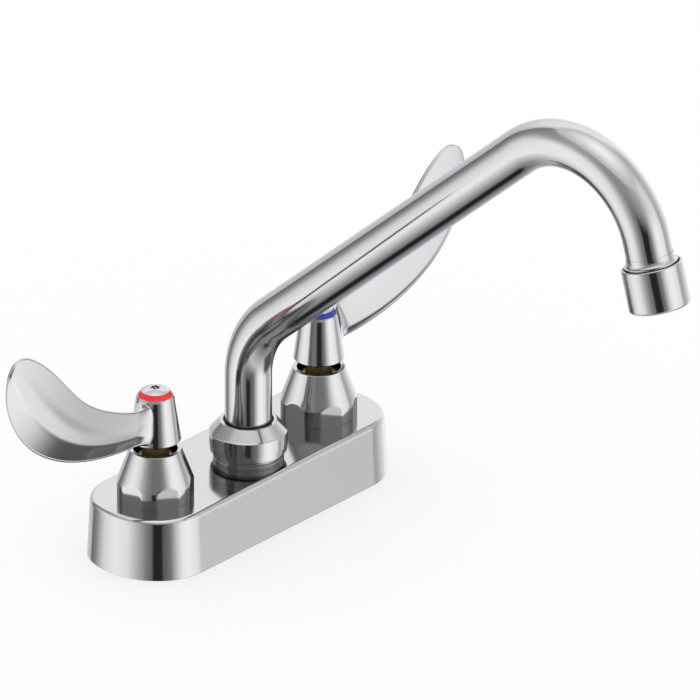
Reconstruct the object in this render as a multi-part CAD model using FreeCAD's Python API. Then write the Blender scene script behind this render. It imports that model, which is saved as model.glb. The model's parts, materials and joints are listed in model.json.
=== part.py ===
import FreeCAD, Part
import math
import os

from FreeCAD import Rotation, Vector

# Two-handle deck faucet on four-inch centres with wrist blades and a tubular swing spout.
# Lengths are in millimetres. The origin is on the deck, midway between the valve axes.
# +X runs from the hot side to the cold side, the spout points along -Y and +Z is up.

# Cast base
valve_spacing = 101.6
base_height = 25.7
base_width = 53.0
base_end_reach = 26.6
base_nose_radius = 32.0
base_corner_radius = 23.0
base_draft_deg = 2.9
base_edge_round = 2.0
base_wall = 3.0
base_roof = 4.2

# Valve wells in the casting
collar_height = 8.5
collar_radius = 12.9
well_radius = 10.3
well_floor_z = 8.0
well_boss_radius = 14.0
inlet_hole_radius = 4.5
inlet_web = 1.5
waterway_radius = 3.6
waterway_z = 16.2
waterway_wall = 3.6

# Inlet shanks and their fastenings under the deck
fixing_thread_radius = 11.0
fixing_thread_run = 2.0
supply_thread_radius = 10.45
shank_drop = 50.0
shank_bore_radius = 5.5
shank_spigot_radius = 8.15
shank_tip_chamfer = 1.2
deck_thickness = 19.0
washer_radius = 19.0
washer_thickness = 1.5
lock_nut_flats = 30.0
lock_nut_height = 6.5
lock_nut_bevel = 1.4
gasket_thickness = 2.2

# Conical bonnets
bonnet_radius = 15.65
bonnet_wall_height = 6.8
bonnet_height = 20.6
bonnet_top_radius = 10.5
bonnet_mouth_radius = 8.9
bonnet_mouth_depth = 3.6
bonnet_flat_distance = 14.87
bonnet_flat_count = 6
bonnet_cavity_radius = 12.6
bonnet_shoulder_radius = 10.9

# Ceramic-disc cartridges
cartridge_radius = 10.1
cartridge_flange_radius = 12.2
cartridge_flange_thickness = 2.0
cartridge_neck_radius = 6.9
cartridge_neck_height = 4.0
cartridge_relief_radius = 9.3
cartridge_chamber_radius = 8.05
cartridge_headroom = 0.4
cartridge_window_width = 8.0
cartridge_window_height = 4.6
seat_seal_thickness = 2.4
seat_seal_bore_radius = 6.8
disc_radius = 7.9
fixed_disc_thickness = 2.2
moving_disc_thickness = 2.0
disc_port_radius = 2.3
disc_port_offset = 4.4
tang_width = 3.0
tang_depth = 0.9
driver_length = 14.4
driver_width = 4.0
driver_thickness = 2.0
gland_nut_flats = 14.4
gland_nut_height = 6.8
gland_nut_bevel = 1.1

# Stems
stem_radius = 5.35
spline_count = 12
spline_outer_radius = 4.6
spline_root_radius = 4.1
spline_length = 11.8
stem_thread_depth = 9.0
ring_section_radius = 0.68
ring_section_flats = 6
body_ring_shift = 0.6

# Handle hub, heights above the top of the base
hub_gap = 3.4
hub_height = 20.1
hub_bottom_radius = 9.5
hub_skirt_radius = 10.3
hub_skirt_height = 0.9
hub_shoulder_radius = 7.75
hub_shoulder_height = 19.1
hub_recess_radius = 7.2
hub_recess_depth = 2.0
hub_web_top = 14.1
hub_lip = 0.1

# Index ring and handle screw
index_seat_radius = 7.0
index_seat_depth = 2.0
index_top_radius = 5.75
index_rise = 1.9
index_bore_radius = 3.1
screw_head_radius = 5.65
screw_head_rise = 1.4
screw_radius = 2.4
screw_length = 15.5
screw_recess_flats = 3.6
screw_recess_depth = 1.3

# Wrist blade: its two edges as distance from the valve axis and height above the base top,
# and its thickness at shares of the way from the hub to the tip
blade_lower_edge = [(3.0, 27.0), (14.0, 26.9), (31.0, 28.1), (54.8, 33.8), (77.4, 47.8),
                    (88.9, 66.0), (90.9, 77.5), (88.8, 85.6)]
blade_upper_edge = [(3.0, 41.4), (13.2, 42.4), (27.0, 46.8), (46.0, 57.7), (64.6, 77.0),
                    (75.2, 86.3), (82.6, 89.2), (88.8, 85.6)]
blade_sections = [(0.0, 16.6), (0.03, 14.3), (0.07, 11.9), (0.12, 10.1), (0.2, 8.4),
                  (0.34, 6.8), (0.52, 5.9), (0.72, 4.9), (0.88, 3.8), (0.96, 2.2), (1.0, 0.0)]
blade_section_steps = 6

# Swing spout
spout_forward = 5.8
spout_tube_radius = 9.525
spout_tube_wall = 1.2
spout_reach = 213.4
spout_heel_rise = 53.9
spout_crook_rise = 218.2
spout_heel_radius = 38.0
spout_crook_radius = 40.0
spout_outlet_tilt_deg = 15.0
spout_outlet_run = 73.7

# Spout nipple and the journal that turns in it
nipple_flange_radius = 14.3
nipple_flange_height = 3.3
nipple_groove_depth = 0.7
nipple_groove_low = 1.7
nipple_groove_high = 2.9
nipple_thread_radius = 13.3
nipple_height = 11.5
nipple_spigot_radius = 12.3
nipple_spigot_depth = 5.0
spout_well_boss_radius = 16.5
journal_radius = 10.9
journal_bore_radius = 7.5
journal_depth = 4.5
journal_flange_radius = 12.3
journal_flange_thickness = 1.8
journal_ring_height = 0.0
journal_ring_pitch = 4.0
tube_socket_depth = 6.3
thrust_washer_thickness = 1.0
thrust_washer_bore_radius = 9.9

# Spout coupling nut
nut_bottom = 4.0
nut_radius = 15.75
nut_band_height = 6.7
nut_foot_radius = 15.1
nut_wall_top = 12.4
nut_cone_bottom_radius = 15.2
nut_cone_bottom = 12.9
nut_cone_top_radius = 11.5
nut_top = 17.0
nut_mouth_radius = 10.2
nut_cavity_radius = 12.7
nut_step = 0.12
nut_edge_round = 0.4

# Outlet spud and aerator, measured along the flow from the aerator's upper rim
bead_radius = 11.0
bead_height = 0.9
bead_lip = 0.7
bead_undercut = 0.3
flare_length = 3.4
flare_edge = 0.12
flare_middle = 2.1
flare_middle_wall = 0.34
spud_thread_radius = 10.7
spud_length = 8.5
spud_socket_depth = 5.0
aerator_radius = 12.5
aerator_length = 17.8
aerator_rim_bore_radius = 11.5
aerator_rim_bore_depth = 1.4
aerator_thread_radius = 10.8
aerator_thread_depth = 11.3
aerator_barrel_radius = 10.4
aerator_lip_radius = 9.4
aerator_lip_thickness = 2.0
aerator_rim_round = 0.5
aerator_foot_round = 1.1
aerator_washer_thickness = 1.7
aerator_washer_bore_radius = 7.2
insert_flange_thickness = 1.0
insert_length = 3.6
insert_plate_thickness = 1.0
insert_wall = 1.0
insert_hole_radius = 1.2
insert_hole_offset = 6.2
insert_hole_count = 8
screen_thickness = 0.6
screen_hole_width = 1.9
screen_hole_pitch = 2.8
screen_margin = 0.7

# Clearances
thread_gap = 0.05
braze_gap = 0.03
running_gap = 0.06
seat_gap = 0.05
shadow_gap = 0.3
edge_gap = 0.1
ring_gap = 0.02
ring_side_gap = 0.12

# How far cutting shapes pass the faces they open, and how far fused shapes reach into each other
cut_margin = 1.0
fuse_overlap = 0.5

# How closely an edge has to match the circle that is looked for
circle_match = 0.0001

# Places that follow from the sizes above
valve_x = valve_spacing / 2
collar_top = base_height + collar_height
seal_top = well_floor_z + seat_seal_thickness
fixed_top = seal_top + fixed_disc_thickness
moving_bottom = fixed_top + seat_gap
moving_top = moving_bottom + moving_disc_thickness
driver_bottom = moving_top + seat_gap
driver_top = driver_bottom + driver_thickness
chamber_top = waterway_z + waterway_radius + cartridge_headroom
flange_top = collar_top + cartridge_flange_thickness
neck_top = flange_top + cartridge_neck_height
gland_bottom = flange_top + seat_gap
gland_top = gland_bottom + gland_nut_height
hub_bottom = base_height + bonnet_height + hub_gap
hub_top = hub_bottom + hub_height
stem_shoulder = hub_bottom + hub_recess_depth - seat_gap
stem_top = stem_shoulder + spline_length
index_bottom = hub_top - index_seat_depth
index_top = hub_top + index_rise
shank_top = gasket_thickness
spigot_top = well_floor_z - inlet_web
washer_top = -deck_thickness
lock_nut_top = washer_top - washer_thickness
lock_nut_bottom = lock_nut_top - lock_nut_height
fixing_thread_end = lock_nut_bottom - fixing_thread_run
journal_top = base_height + nipple_height + seat_gap + journal_flange_thickness
nipple_top = base_height + nipple_height


def at_z(shape, z):
    return shape.translated(Vector(0, 0, z))


def cylinder(radius, bottom, top):
    return Part.makeCylinder(radius, top - bottom, Vector(0, 0, bottom))


def tube(outer, inner, bottom, top):
    return cylinder(outer, bottom, top).cut(
        cylinder(inner, bottom - cut_margin, top + cut_margin))


def centred_box(length, width, bottom, top):
    corner = Vector(-length / 2, -width / 2, bottom)
    return Part.makeBox(length, width, top - bottom, corner)


def turned(points):
    """A solid of revolution about Z from (radius, height) points."""
    outline = [Vector(radius, 0, height) for radius, height in points]
    face = Part.Face(Part.makePolygon(outline + outline[:1]))
    return face.revolve(Vector(0, 0, 0), Vector(0, 0, 1), 360)


def polygon_prism(flats, bottom, top, count=6):
    """A prism with a flat side towards +X."""
    corner = flats / 2 / math.cos(math.pi / count)
    angles = [(side + 0.5) * 2 * math.pi / count for side in range(count)]
    points = [Vector(corner * math.cos(a), corner * math.sin(a), bottom) for a in angles]
    face = Part.Face(Part.makePolygon(points + points[:1]))
    return face.extrude(Vector(0, 0, top - bottom))


def spline_prism(outer, root, bottom, top):
    """A splined bar: a polygon that steps between two radii."""
    points = []
    for index in range(2 * spline_count):
        angle = index * math.pi / spline_count
        radius = outer if index % 2 == 0 else root
        points.append(Vector(radius * math.cos(angle), radius * math.sin(angle), bottom))
    face = Part.Face(Part.makePolygon(points + points[:1]))
    return face.extrude(Vector(0, 0, top - bottom))


def rubber_ring(groove_radius, height):
    """An O-ring, with flats round its section, in a groove of the given bottom radius."""
    middle = groove_radius + ring_gap + ring_section_radius
    angles = [side * 2 * math.pi / ring_section_flats for side in range(ring_section_flats)]
    return turned([(middle + ring_section_radius * math.cos(a),
                    height + ring_section_radius * math.sin(a)) for a in angles])


def ring_groove(groove_radius, outer, height):
    half = ring_section_radius + ring_side_gap
    return tube(outer + cut_margin, groove_radius, height - half, height + half)


def circle_edges(shape, radius, height):
    """The full circles about Z of one radius at one height."""
    found = []
    for edge in shape.Edges:
        curve = edge.Curve
        if not isinstance(curve, Part.Circle) or not edge.isClosed():
            continue
        off = max(abs(curve.Radius - radius), abs(curve.Center.z - height))
        if off < circle_match:
            found.append(edge)
    return found


# Cast base
def base_wire(inset, z):
    """The base's outline: straight sides, two corner arcs and a flatter nose at each end."""
    half_width = base_width / 2 - inset
    nose = base_nose_radius - inset
    corner = base_corner_radius - inset
    nose_x = valve_x + base_end_reach - base_nose_radius
    centre_y = half_width - corner
    centre_x = nose_x + math.sqrt((nose - corner) ** 2 - centre_y ** 2)
    toward = Vector(centre_x - nose_x, centre_y, 0).normalize()
    meet = Vector(nose_x, 0, 0) + toward * nose
    halfway = toward + Vector(0, 1, 0)
    bulge = Vector(centre_x, centre_y, 0) + halfway.normalize() * corner
    side = Vector(centre_x, half_width, 0)
    tip = Vector(nose_x + nose, 0, 0)
    right = [side, bulge, meet, tip]
    right += [Vector(point.x, -point.y, 0) for point in (meet, bulge, side)]
    left = [Vector(-point.x, point.y, 0) for point in reversed(right)]
    edges = []
    for run in (right, left):
        edges.append(Part.Arc(run[0], run[1], run[2]).toShape())
        edges.append(Part.Arc(run[2], run[3], run[4]).toShape())
        edges.append(Part.Arc(run[4], run[5], run[6]).toShape())
        other = left if run is right else right
        edges.append(Part.makeLine(run[6], other[0]))
    return at_z(Part.Wire(edges), z)


def draft_inset(z):
    """How far the leaning sides have come in at a height."""
    return z * math.tan(math.radians(base_draft_deg))


def base_block(inset, bottom, top):
    """The drafted block between two heights, inset from the outer face."""
    wires = [base_wire(inset + draft_inset(z), z) for z in (bottom, top)]
    return Part.makeLoft(wires, True, True)


def at_both_valves(shape):
    return [shape.translated(Vector(x, 0, 0)) for x in (-valve_x, valve_x)]


def at_spout(shape):
    return shape.translated(Vector(0, -spout_forward, 0))


def casting_bosses():
    """The solid parts under and over the roof: valve wells, waterway and spout well."""
    roof = base_height - fuse_overlap
    bosses = at_both_valves(cylinder(well_boss_radius, gasket_thickness, roof))
    bosses += at_both_valves(cylinder(collar_radius, roof, collar_top))
    bosses.append(at_spout(cylinder(spout_well_boss_radius, gasket_thickness, roof)))
    passage = waterway_radius + waterway_wall
    bosses.append(at_spout(centred_box(valve_spacing, 2 * passage, waterway_z - passage, roof)))
    return bosses


def casting_bores():
    """The wells, inlets and shank sockets, the spout's thread and drop, and the waterway."""
    bores = at_both_valves(cylinder(well_radius, well_floor_z, collar_top + cut_margin))
    bores += at_both_valves(cylinder(inlet_hole_radius, spigot_top - fuse_overlap,
                                     well_floor_z + cut_margin))
    bores += at_both_valves(cylinder(shank_spigot_radius + braze_gap, -cut_margin, spigot_top))
    bores.append(at_spout(cylinder(nipple_spigot_radius + thread_gap,
                                   base_height - nipple_spigot_depth, base_height + cut_margin)))
    bores.append(at_spout(cylinder(journal_radius, waterway_z, base_height + cut_margin)))
    bores.append(Part.makeCylinder(waterway_radius, valve_spacing,
                                   Vector(-valve_x, -spout_forward, waterway_z), Vector(1, 0, 0)))
    return bores


def deck_body():
    outer = base_block(0, 0, base_height)
    rim = [edge for edge in outer.Edges if edge.BoundBox.ZMin > base_height - fuse_overlap]
    outer = outer.makeFillet(base_edge_round, rim)
    hollow = base_block(base_wall, -cut_margin, base_height - base_roof)
    casting = outer.cut(hollow).fuse(casting_bosses())
    for bore in casting_bores():
        casting = casting.cut(bore)
    return casting.removeSplitter()


def deck_gasket():
    inset = base_wall + draft_inset(gasket_thickness) + shadow_gap
    sheet = Part.Face(base_wire(inset, 0)).extrude(Vector(0, 0, gasket_thickness))
    hole = cylinder(fixing_thread_radius + shadow_gap, -cut_margin,
                    gasket_thickness + cut_margin)
    return sheet.cut(at_both_valves(hole))


# Inlet shank and its fastenings, about its own axis
def inlet_shank():
    """The fixing thread for the lock nut, with the slimmer supply thread below it."""
    tip = supply_thread_radius - shank_tip_chamfer
    return turned([(shank_bore_radius, -shank_drop), (tip, -shank_drop),
                   (supply_thread_radius, shank_tip_chamfer - shank_drop),
                   (supply_thread_radius, fixing_thread_end),
                   (fixing_thread_radius, fixing_thread_end), (fixing_thread_radius, shank_top),
                   (shank_spigot_radius, shank_top), (shank_spigot_radius, spigot_top),
                   (shank_bore_radius, spigot_top)])


def shank_washer():
    return tube(washer_radius, fixing_thread_radius + shadow_gap, lock_nut_top, washer_top)


def lock_nut():
    bottom = lock_nut_bottom
    hexagon = polygon_prism(lock_nut_flats, bottom, lock_nut_top)
    corner = lock_nut_flats / 2 / math.cos(math.pi / 6)
    rounded = turned([(0, bottom), (corner - 2 * lock_nut_bevel, bottom),
                      (corner, bottom + lock_nut_bevel), (corner, lock_nut_top),
                      (0, lock_nut_top)])
    return hexagon.common(rounded).cut(cylinder(
        fixing_thread_radius + thread_gap, bottom - cut_margin, lock_nut_top + cut_margin))


# Bonnet, about the valve axis
def bonnet():
    low = base_height
    wall_top = low + bonnet_wall_height
    top = low + bonnet_height
    outside = turned([(0, low), (bonnet_radius, low), (bonnet_radius, wall_top),
                      (bonnet_top_radius, top), (0, top)])
    flats = polygon_prism(2 * bonnet_flat_distance, low - cut_margin, top + cut_margin,
                          bonnet_flat_count)
    thread_top = collar_top + seat_gap
    shoulder = flange_top + seat_gap
    inside = turned([(0, low - cut_margin), (collar_radius + thread_gap, low - cut_margin),
                     (collar_radius + thread_gap, thread_top), (bonnet_cavity_radius, thread_top),
                     (bonnet_cavity_radius, shoulder), (bonnet_shoulder_radius, shoulder),
                     (bonnet_mouth_radius, top - bonnet_mouth_depth),
                     (bonnet_mouth_radius, top + cut_margin), (0, top + cut_margin)])
    return outside.common(flats).cut(inside)


# Cartridge pieces, about the valve axis
def body_ring_height():
    return (chamber_top + base_height) / 2 + body_ring_shift


def cartridge_body():
    bottom = well_floor_z + shadow_gap
    body = turned([(0, bottom), (cartridge_radius, bottom), (cartridge_radius, moving_bottom),
                   (cartridge_relief_radius, moving_bottom),
                   (cartridge_relief_radius, chamber_top), (cartridge_radius, chamber_top),
                   (cartridge_radius, collar_top + seat_gap),
                   (cartridge_flange_radius, collar_top + seat_gap),
                   (cartridge_flange_radius, flange_top), (cartridge_neck_radius, flange_top),
                   (cartridge_neck_radius, neck_top), (0, neck_top)])
    chamber = cylinder(cartridge_chamber_radius, bottom - cut_margin, chamber_top)
    bore = cylinder(stem_radius + running_gap, bottom, neck_top + cut_margin)
    window = centred_box(4 * cartridge_radius, cartridge_window_width, driver_bottom,
                         driver_bottom + cartridge_window_height)
    groove = ring_groove(cartridge_radius - 2 * ring_section_radius + ring_gap,
                         cartridge_radius, body_ring_height())
    return body.cut([chamber, bore, window, groove]).removeSplitter()


def body_oring():
    return rubber_ring(cartridge_radius - 2 * ring_section_radius + ring_gap, body_ring_height())


def gland_nut():
    hexagon = polygon_prism(gland_nut_flats, gland_bottom, gland_top)
    corner = gland_nut_flats / 2 / math.cos(math.pi / 6)
    rounded = turned([(0, gland_bottom), (corner, gland_bottom),
                      (corner, gland_top - gland_nut_bevel),
                      (corner - gland_nut_bevel, gland_top), (0, gland_top)])
    thread = cylinder(cartridge_neck_radius + thread_gap, gland_bottom - cut_margin,
                      neck_top + seat_gap)
    hole = cylinder(stem_radius + shadow_gap, gland_bottom, gland_top + cut_margin)
    return hexagon.common(rounded).cut([thread, hole])


def seat_seal():
    return tube(disc_radius, seat_seal_bore_radius, well_floor_z, seal_top)


def disc_ports(bottom, top, turn_deg):
    ports = []
    for angle in (turn_deg, turn_deg + 180):
        offset = Vector(disc_port_offset * math.cos(math.radians(angle)),
                        disc_port_offset * math.sin(math.radians(angle)), 0)
        ports.append(cylinder(disc_port_radius, bottom, top).translated(offset))
    return ports


def fixed_disc():
    ports = disc_ports(seal_top - cut_margin, fixed_top + cut_margin, 0)
    return cylinder(disc_radius, seal_top, fixed_top).cut(ports)


def moving_disc():
    disc = cylinder(disc_radius - running_gap, moving_bottom, moving_top)
    slot = centred_box(4 * disc_radius, tang_width + 2 * running_gap,
                       moving_top - tang_depth - seat_gap, moving_top + cut_margin)
    ports = disc_ports(moving_bottom - cut_margin, moving_top + cut_margin, 90)
    return disc.cut(ports + [slot])


def stem_ring_height():
    return (collar_top + neck_top) / 2


def stem():
    groove_radius = stem_radius - 2 * ring_section_radius
    shaft = cylinder(stem_radius, driver_top - fuse_overlap, stem_shoulder)
    shaft = shaft.cut(ring_groove(groove_radius, stem_radius, stem_ring_height()))
    driver = centred_box(driver_length, driver_width, driver_bottom, driver_top)
    tang = centred_box(driver_length, tang_width, driver_bottom - tang_depth,
                       driver_bottom + fuse_overlap)
    splines = spline_prism(spline_outer_radius, spline_root_radius,
                           stem_shoulder - fuse_overlap, stem_top)
    body = shaft.fuse([driver, tang, splines])
    drill = cylinder(screw_radius + thread_gap, stem_top - stem_thread_depth,
                     stem_top + cut_margin)
    return body.cut(drill).removeSplitter()


def stem_oring():
    return rubber_ring(stem_radius - 2 * ring_section_radius, stem_ring_height())


# Handle: hub and wrist blade in one casting. The blade points along +X here.
def edge_curve(points):
    curve = Part.BSplineCurve()
    curve.interpolate([Vector(out, 0, base_height + height) for out, height in points])
    return curve


def along(curve, share):
    return curve.value(curve.FirstParameter * (1 - share) + curve.LastParameter * share)


def wrist_blade():
    """One smooth skin through half ovals from edge to edge, mirrored and closed at the hub."""
    lower = edge_curve(blade_lower_edge)
    upper = edge_curve(blade_upper_edge)
    grid = []
    for share, thickness in blade_sections:
        low = along(lower, share)
        high = along(upper, share)
        middle = (low + high) * 0.5
        row = []
        for step in range(blade_section_steps + 1):
            angle = step * math.pi / blade_section_steps
            swell = Vector(0, thickness / 2 * math.sin(angle), 0)
            row.append(middle + (high - middle) * math.cos(angle) + swell)
        grid.append(row)
    surface = Part.BSplineSurface()
    surface.interpolate(grid)
    front = surface.toShape()
    back = front.mirror(Vector(0, 0, 0), Vector(0, 1, 0))
    root_x = blade_lower_edge[0][0]
    rim = [edge for edge in front.Edges + back.Edges if edge.BoundBox.XMax < root_x + fuse_overlap]
    return Part.makeSolid(Part.Shell([front, back, Part.Face(Part.Wire(rim))]))


def handle_hub():
    shoulder = hub_bottom + hub_shoulder_height
    return turned([(0, hub_bottom), (hub_bottom_radius, hub_bottom),
                   (hub_skirt_radius, hub_bottom + hub_skirt_height),
                   (hub_shoulder_radius, shoulder),
                   (index_seat_radius + thread_gap + hub_lip, hub_top),
                   (0, hub_top)])


def handle():
    casting = handle_hub().fuse(wrist_blade())
    recess = cylinder(hub_recess_radius, hub_bottom - cut_margin,
                      hub_bottom + hub_recess_depth)
    socket = spline_prism(spline_outer_radius + thread_gap, spline_root_radius + thread_gap,
                          hub_bottom, hub_bottom + hub_web_top)
    seat = cylinder(index_seat_radius + thread_gap, index_bottom, hub_top + cut_margin)
    hole = cylinder(screw_radius + thread_gap, hub_bottom, hub_top)
    return casting.cut([recess, socket, seat, hole])


def index_ring():
    return turned([(index_bore_radius, index_bottom), (index_seat_radius, index_bottom),
                   (index_seat_radius, hub_top), (index_top_radius, index_top),
                   (index_bore_radius, index_top)])


def handle_screw():
    head_radius = screw_head_radius
    sphere_radius = (head_radius ** 2 + screw_head_rise ** 2) / (2 * screw_head_rise)
    centre_z = index_top + screw_head_rise - sphere_radius
    dome = Part.makeSphere(sphere_radius, Vector(0, 0, centre_z))
    head = dome.common(cylinder(head_radius, index_top, index_top + 2 * screw_head_rise))
    shank = cylinder(screw_radius, index_top - screw_length, index_top + fuse_overlap)
    top = index_top + screw_head_rise
    recess = polygon_prism(screw_recess_flats, top - screw_recess_depth, top + cut_margin)
    return head.fuse(shank).cut(recess).removeSplitter()


# Spout pieces, about the spout's swivel axis with the outlet towards +X here
def spout_nipple():
    low = base_height - nipple_spigot_depth
    groove = nipple_flange_radius - nipple_groove_depth
    flange_top_z = base_height + nipple_flange_height
    body = turned([(0, low), (nipple_spigot_radius, low), (nipple_spigot_radius, base_height),
                   (nipple_flange_radius, base_height),
                   (nipple_flange_radius, base_height + nipple_groove_low),
                   (groove, base_height + nipple_groove_low),
                   (groove, base_height + nipple_groove_high),
                   (nipple_flange_radius, base_height + nipple_groove_high),
                   (nipple_flange_radius, flange_top_z), (nipple_thread_radius, flange_top_z),
                   (nipple_thread_radius, nipple_top), (0, nipple_top)])
    return body.cut(cylinder(journal_radius + seat_gap, low - cut_margin,
                             nipple_top + cut_margin))


def journal_ring_heights():
    first = base_height + journal_ring_height
    return (first, first + journal_ring_pitch)


def journal_groove_radius():
    return journal_radius - 2 * ring_section_radius


def spout_journal():
    low = base_height - journal_depth
    flange_low = nipple_top + seat_gap
    body = turned([(0, low), (journal_radius, low), (journal_radius, flange_low),
                   (journal_flange_radius, flange_low), (journal_flange_radius, journal_top),
                   (0, journal_top)])
    tools = [cylinder(journal_bore_radius, low - cut_margin, journal_top + cut_margin),
             cylinder(spout_tube_radius + braze_gap, journal_top - tube_socket_depth,
                      journal_top + cut_margin)]
    tools += [ring_groove(journal_groove_radius(), journal_radius, height)
              for height in journal_ring_heights()]
    return body.cut(tools)


def thrust_washer():
    low = journal_top + seat_gap
    return tube(nut_cavity_radius - edge_gap, thrust_washer_bore_radius, low,
                low + thrust_washer_thickness)


def spout_nut():
    low = base_height + nut_bottom
    band = base_height + nut_band_height
    shoulder = journal_top + 2 * seat_gap + thrust_washer_thickness
    outside = turned([(0, low), (nut_foot_radius, low), (nut_radius - nut_step, band),
                      (nut_radius, band), (nut_radius, base_height + nut_wall_top),
                      (nut_cone_bottom_radius, base_height + nut_cone_bottom),
                      (nut_cone_top_radius, base_height + nut_top), (0, base_height + nut_top)])
    inside = turned([(0, low - cut_margin),
                     (nipple_thread_radius + thread_gap, low - cut_margin),
                     (nipple_thread_radius + thread_gap, nipple_top + seat_gap),
                     (nut_cavity_radius, nipple_top + seat_gap), (nut_cavity_radius, shoulder),
                     (nut_mouth_radius, shoulder),
                     (nut_mouth_radius, base_height + nut_top + cut_margin),
                     (0, base_height + nut_top + cut_margin)])
    shell = outside.cut(inside)
    rims = circle_edges(shell, nut_radius, base_height + nut_wall_top)
    return shell.makeFillet(nut_edge_round, rims)


def outlet_direction():
    tilt = math.radians(spout_outlet_tilt_deg)
    return Vector(math.sin(tilt), 0, -math.cos(tilt))


def spout_corners():
    """The corners of the spout's centreline in the X-Z plane, from the socket to the outlet."""
    drop = outlet_direction()
    crook_x = spout_reach - drop.x * (spout_outlet_run + aerator_length)
    start = Vector(0, 0, journal_top - tube_socket_depth)
    heel = Vector(0, 0, base_height + spout_heel_rise)
    crook = Vector(crook_x, 0, base_height + spout_crook_rise)
    return [start, heel, crook, crook + drop * spout_outlet_run]


def bend(before, corner, after, radius):
    """The arc of one radius that rounds a corner, as start, middle and end points."""
    back = (before - corner).normalize()
    ahead = (after - corner).normalize()
    half_angle = back.getAngle(ahead) / 2
    setback = radius / math.tan(half_angle)
    bisector = (back + ahead).normalize()
    centre = corner + bisector * (radius / math.sin(half_angle))
    return corner + back * setback, centre - bisector * radius, corner + ahead * setback


def spout_path():
    start, heel, crook, outlet = spout_corners()
    end = outlet + outlet_direction() * spud_socket_depth
    first = bend(start, heel, crook, spout_heel_radius)
    second = bend(heel, crook, outlet, spout_crook_radius)
    return Part.Wire([Part.makeLine(start, first[0]), Part.Arc(*first).toShape(),
                      Part.makeLine(first[2], second[0]), Part.Arc(*second).toShape(),
                      Part.makeLine(second[2], end)])


def spout_tube():
    path = spout_path()
    start = spout_corners()[0]
    solids = []
    for radius in (spout_tube_radius, spout_tube_radius - spout_tube_wall):
        ring = Part.Wire(Part.makeCircle(radius, start, Vector(0, 0, 1)))
        solids.append(path.makePipeShell([ring], True, False))
    pipe = solids[0].cut(solids[1])
    section = math.pi * (spout_tube_radius ** 2 - (spout_tube_radius - spout_tube_wall) ** 2)
    print("spout tube volume over section times length:", pipe.Volume / section / path.Length)
    return pipe


def place_outlet(shape):
    """Moves a piece made with the flow along +Z to the spout's outlet."""
    outlet = spout_corners()[3]
    turn = Rotation(Vector(0, 0, 1), outlet_direction())
    moved = shape.copy()
    moved.Placement = FreeCAD.Placement(outlet, turn)
    return moved


def outlet_spud():
    """The threaded end: a bell that flares from the tube to a bead above the aerator."""
    bore = spout_tube_radius + braze_gap
    waterway = spout_tube_radius - spout_tube_wall
    flare_start = -bead_lip - flare_length
    bead_end = bead_height - bead_lip
    bell = Part.Arc(Vector(bore + flare_edge, 0, flare_start),
                    Vector(bore + flare_middle_wall, 0, flare_start + flare_middle),
                    Vector(bead_radius, 0, -bead_lip)).toShape()
    outline = [(bead_radius, -bead_lip), (bead_radius, bead_end),
               (spud_thread_radius, bead_end + bead_undercut),
               (spud_thread_radius, spud_length), (waterway, spud_length),
               (waterway, spud_socket_depth), (bore, spud_socket_depth), (bore, flare_start),
               (bore + flare_edge, flare_start)]
    rest = Part.makePolygon([Vector(radius, 0, height) for radius, height in outline])
    face = Part.Face(Part.Wire([bell] + rest.Edges))
    return place_outlet(face.revolve(Vector(0, 0, 0), Vector(0, 0, 1), 360))


def aerator_housing():
    lip_top = aerator_length - aerator_lip_thickness
    shell = turned([(aerator_rim_bore_radius, 0), (aerator_radius, 0),
                    (aerator_radius, aerator_length), (aerator_lip_radius, aerator_length),
                    (aerator_lip_radius, lip_top), (aerator_barrel_radius, lip_top),
                    (aerator_barrel_radius, aerator_thread_depth),
                    (aerator_thread_radius, aerator_thread_depth),
                    (aerator_thread_radius, aerator_rim_bore_depth),
                    (aerator_rim_bore_radius, aerator_rim_bore_depth)])
    shell = shell.makeFillet(aerator_rim_round, circle_edges(shell, aerator_radius, 0))
    foot = circle_edges(shell, aerator_radius, aerator_length)
    return place_outlet(shell.makeFillet(aerator_foot_round, foot))


def aerator_washer():
    low = spud_length + seat_gap
    return place_outlet(tube(aerator_thread_radius - edge_gap, aerator_washer_bore_radius, low,
                             low + aerator_washer_thickness))


def aerator_insert():
    flange_low = aerator_thread_depth - insert_flange_thickness
    plate_top = aerator_thread_depth + insert_plate_thickness
    bottom = aerator_thread_depth + insert_length
    flange = aerator_thread_radius - edge_gap
    outer = aerator_barrel_radius - edge_gap
    body = turned([(0, flange_low), (flange, flange_low), (flange, aerator_thread_depth),
                   (outer, aerator_thread_depth), (outer, bottom),
                   (outer - insert_wall, bottom), (outer - insert_wall, plate_top),
                   (0, plate_top)])
    hole = cylinder(insert_hole_radius, flange_low - cut_margin, plate_top + cut_margin)
    hole.translate(Vector(insert_hole_offset, 0, 0))
    for index in range(insert_hole_count):
        turned_hole = hole.copy()
        turned_hole.rotate(Vector(0, 0, 0), Vector(0, 0, 1), index * 360 / insert_hole_count)
        body = body.cut(turned_hole)
    return place_outlet(body)


def aerator_screen():
    """A thin plate with a square grid of square holes."""
    low = aerator_thread_depth + insert_length + seat_gap
    top = low + screen_thickness
    radius = aerator_barrel_radius - edge_gap
    reach = radius - screen_margin - screen_hole_width * math.sqrt(0.5)
    steps = int(reach / screen_hole_pitch) + 1
    holes = []
    for column in range(-steps, steps + 1):
        for row in range(-steps, steps + 1):
            place = Vector(column * screen_hole_pitch, row * screen_hole_pitch, 0)
            if place.Length < reach:
                hole = centred_box(screen_hole_width, screen_hole_width, low - cut_margin,
                                   top + cut_margin)
                holes.append(hole.translated(place))
    return place_outlet(cylinder(radius, low, top).cut(holes))


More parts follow.
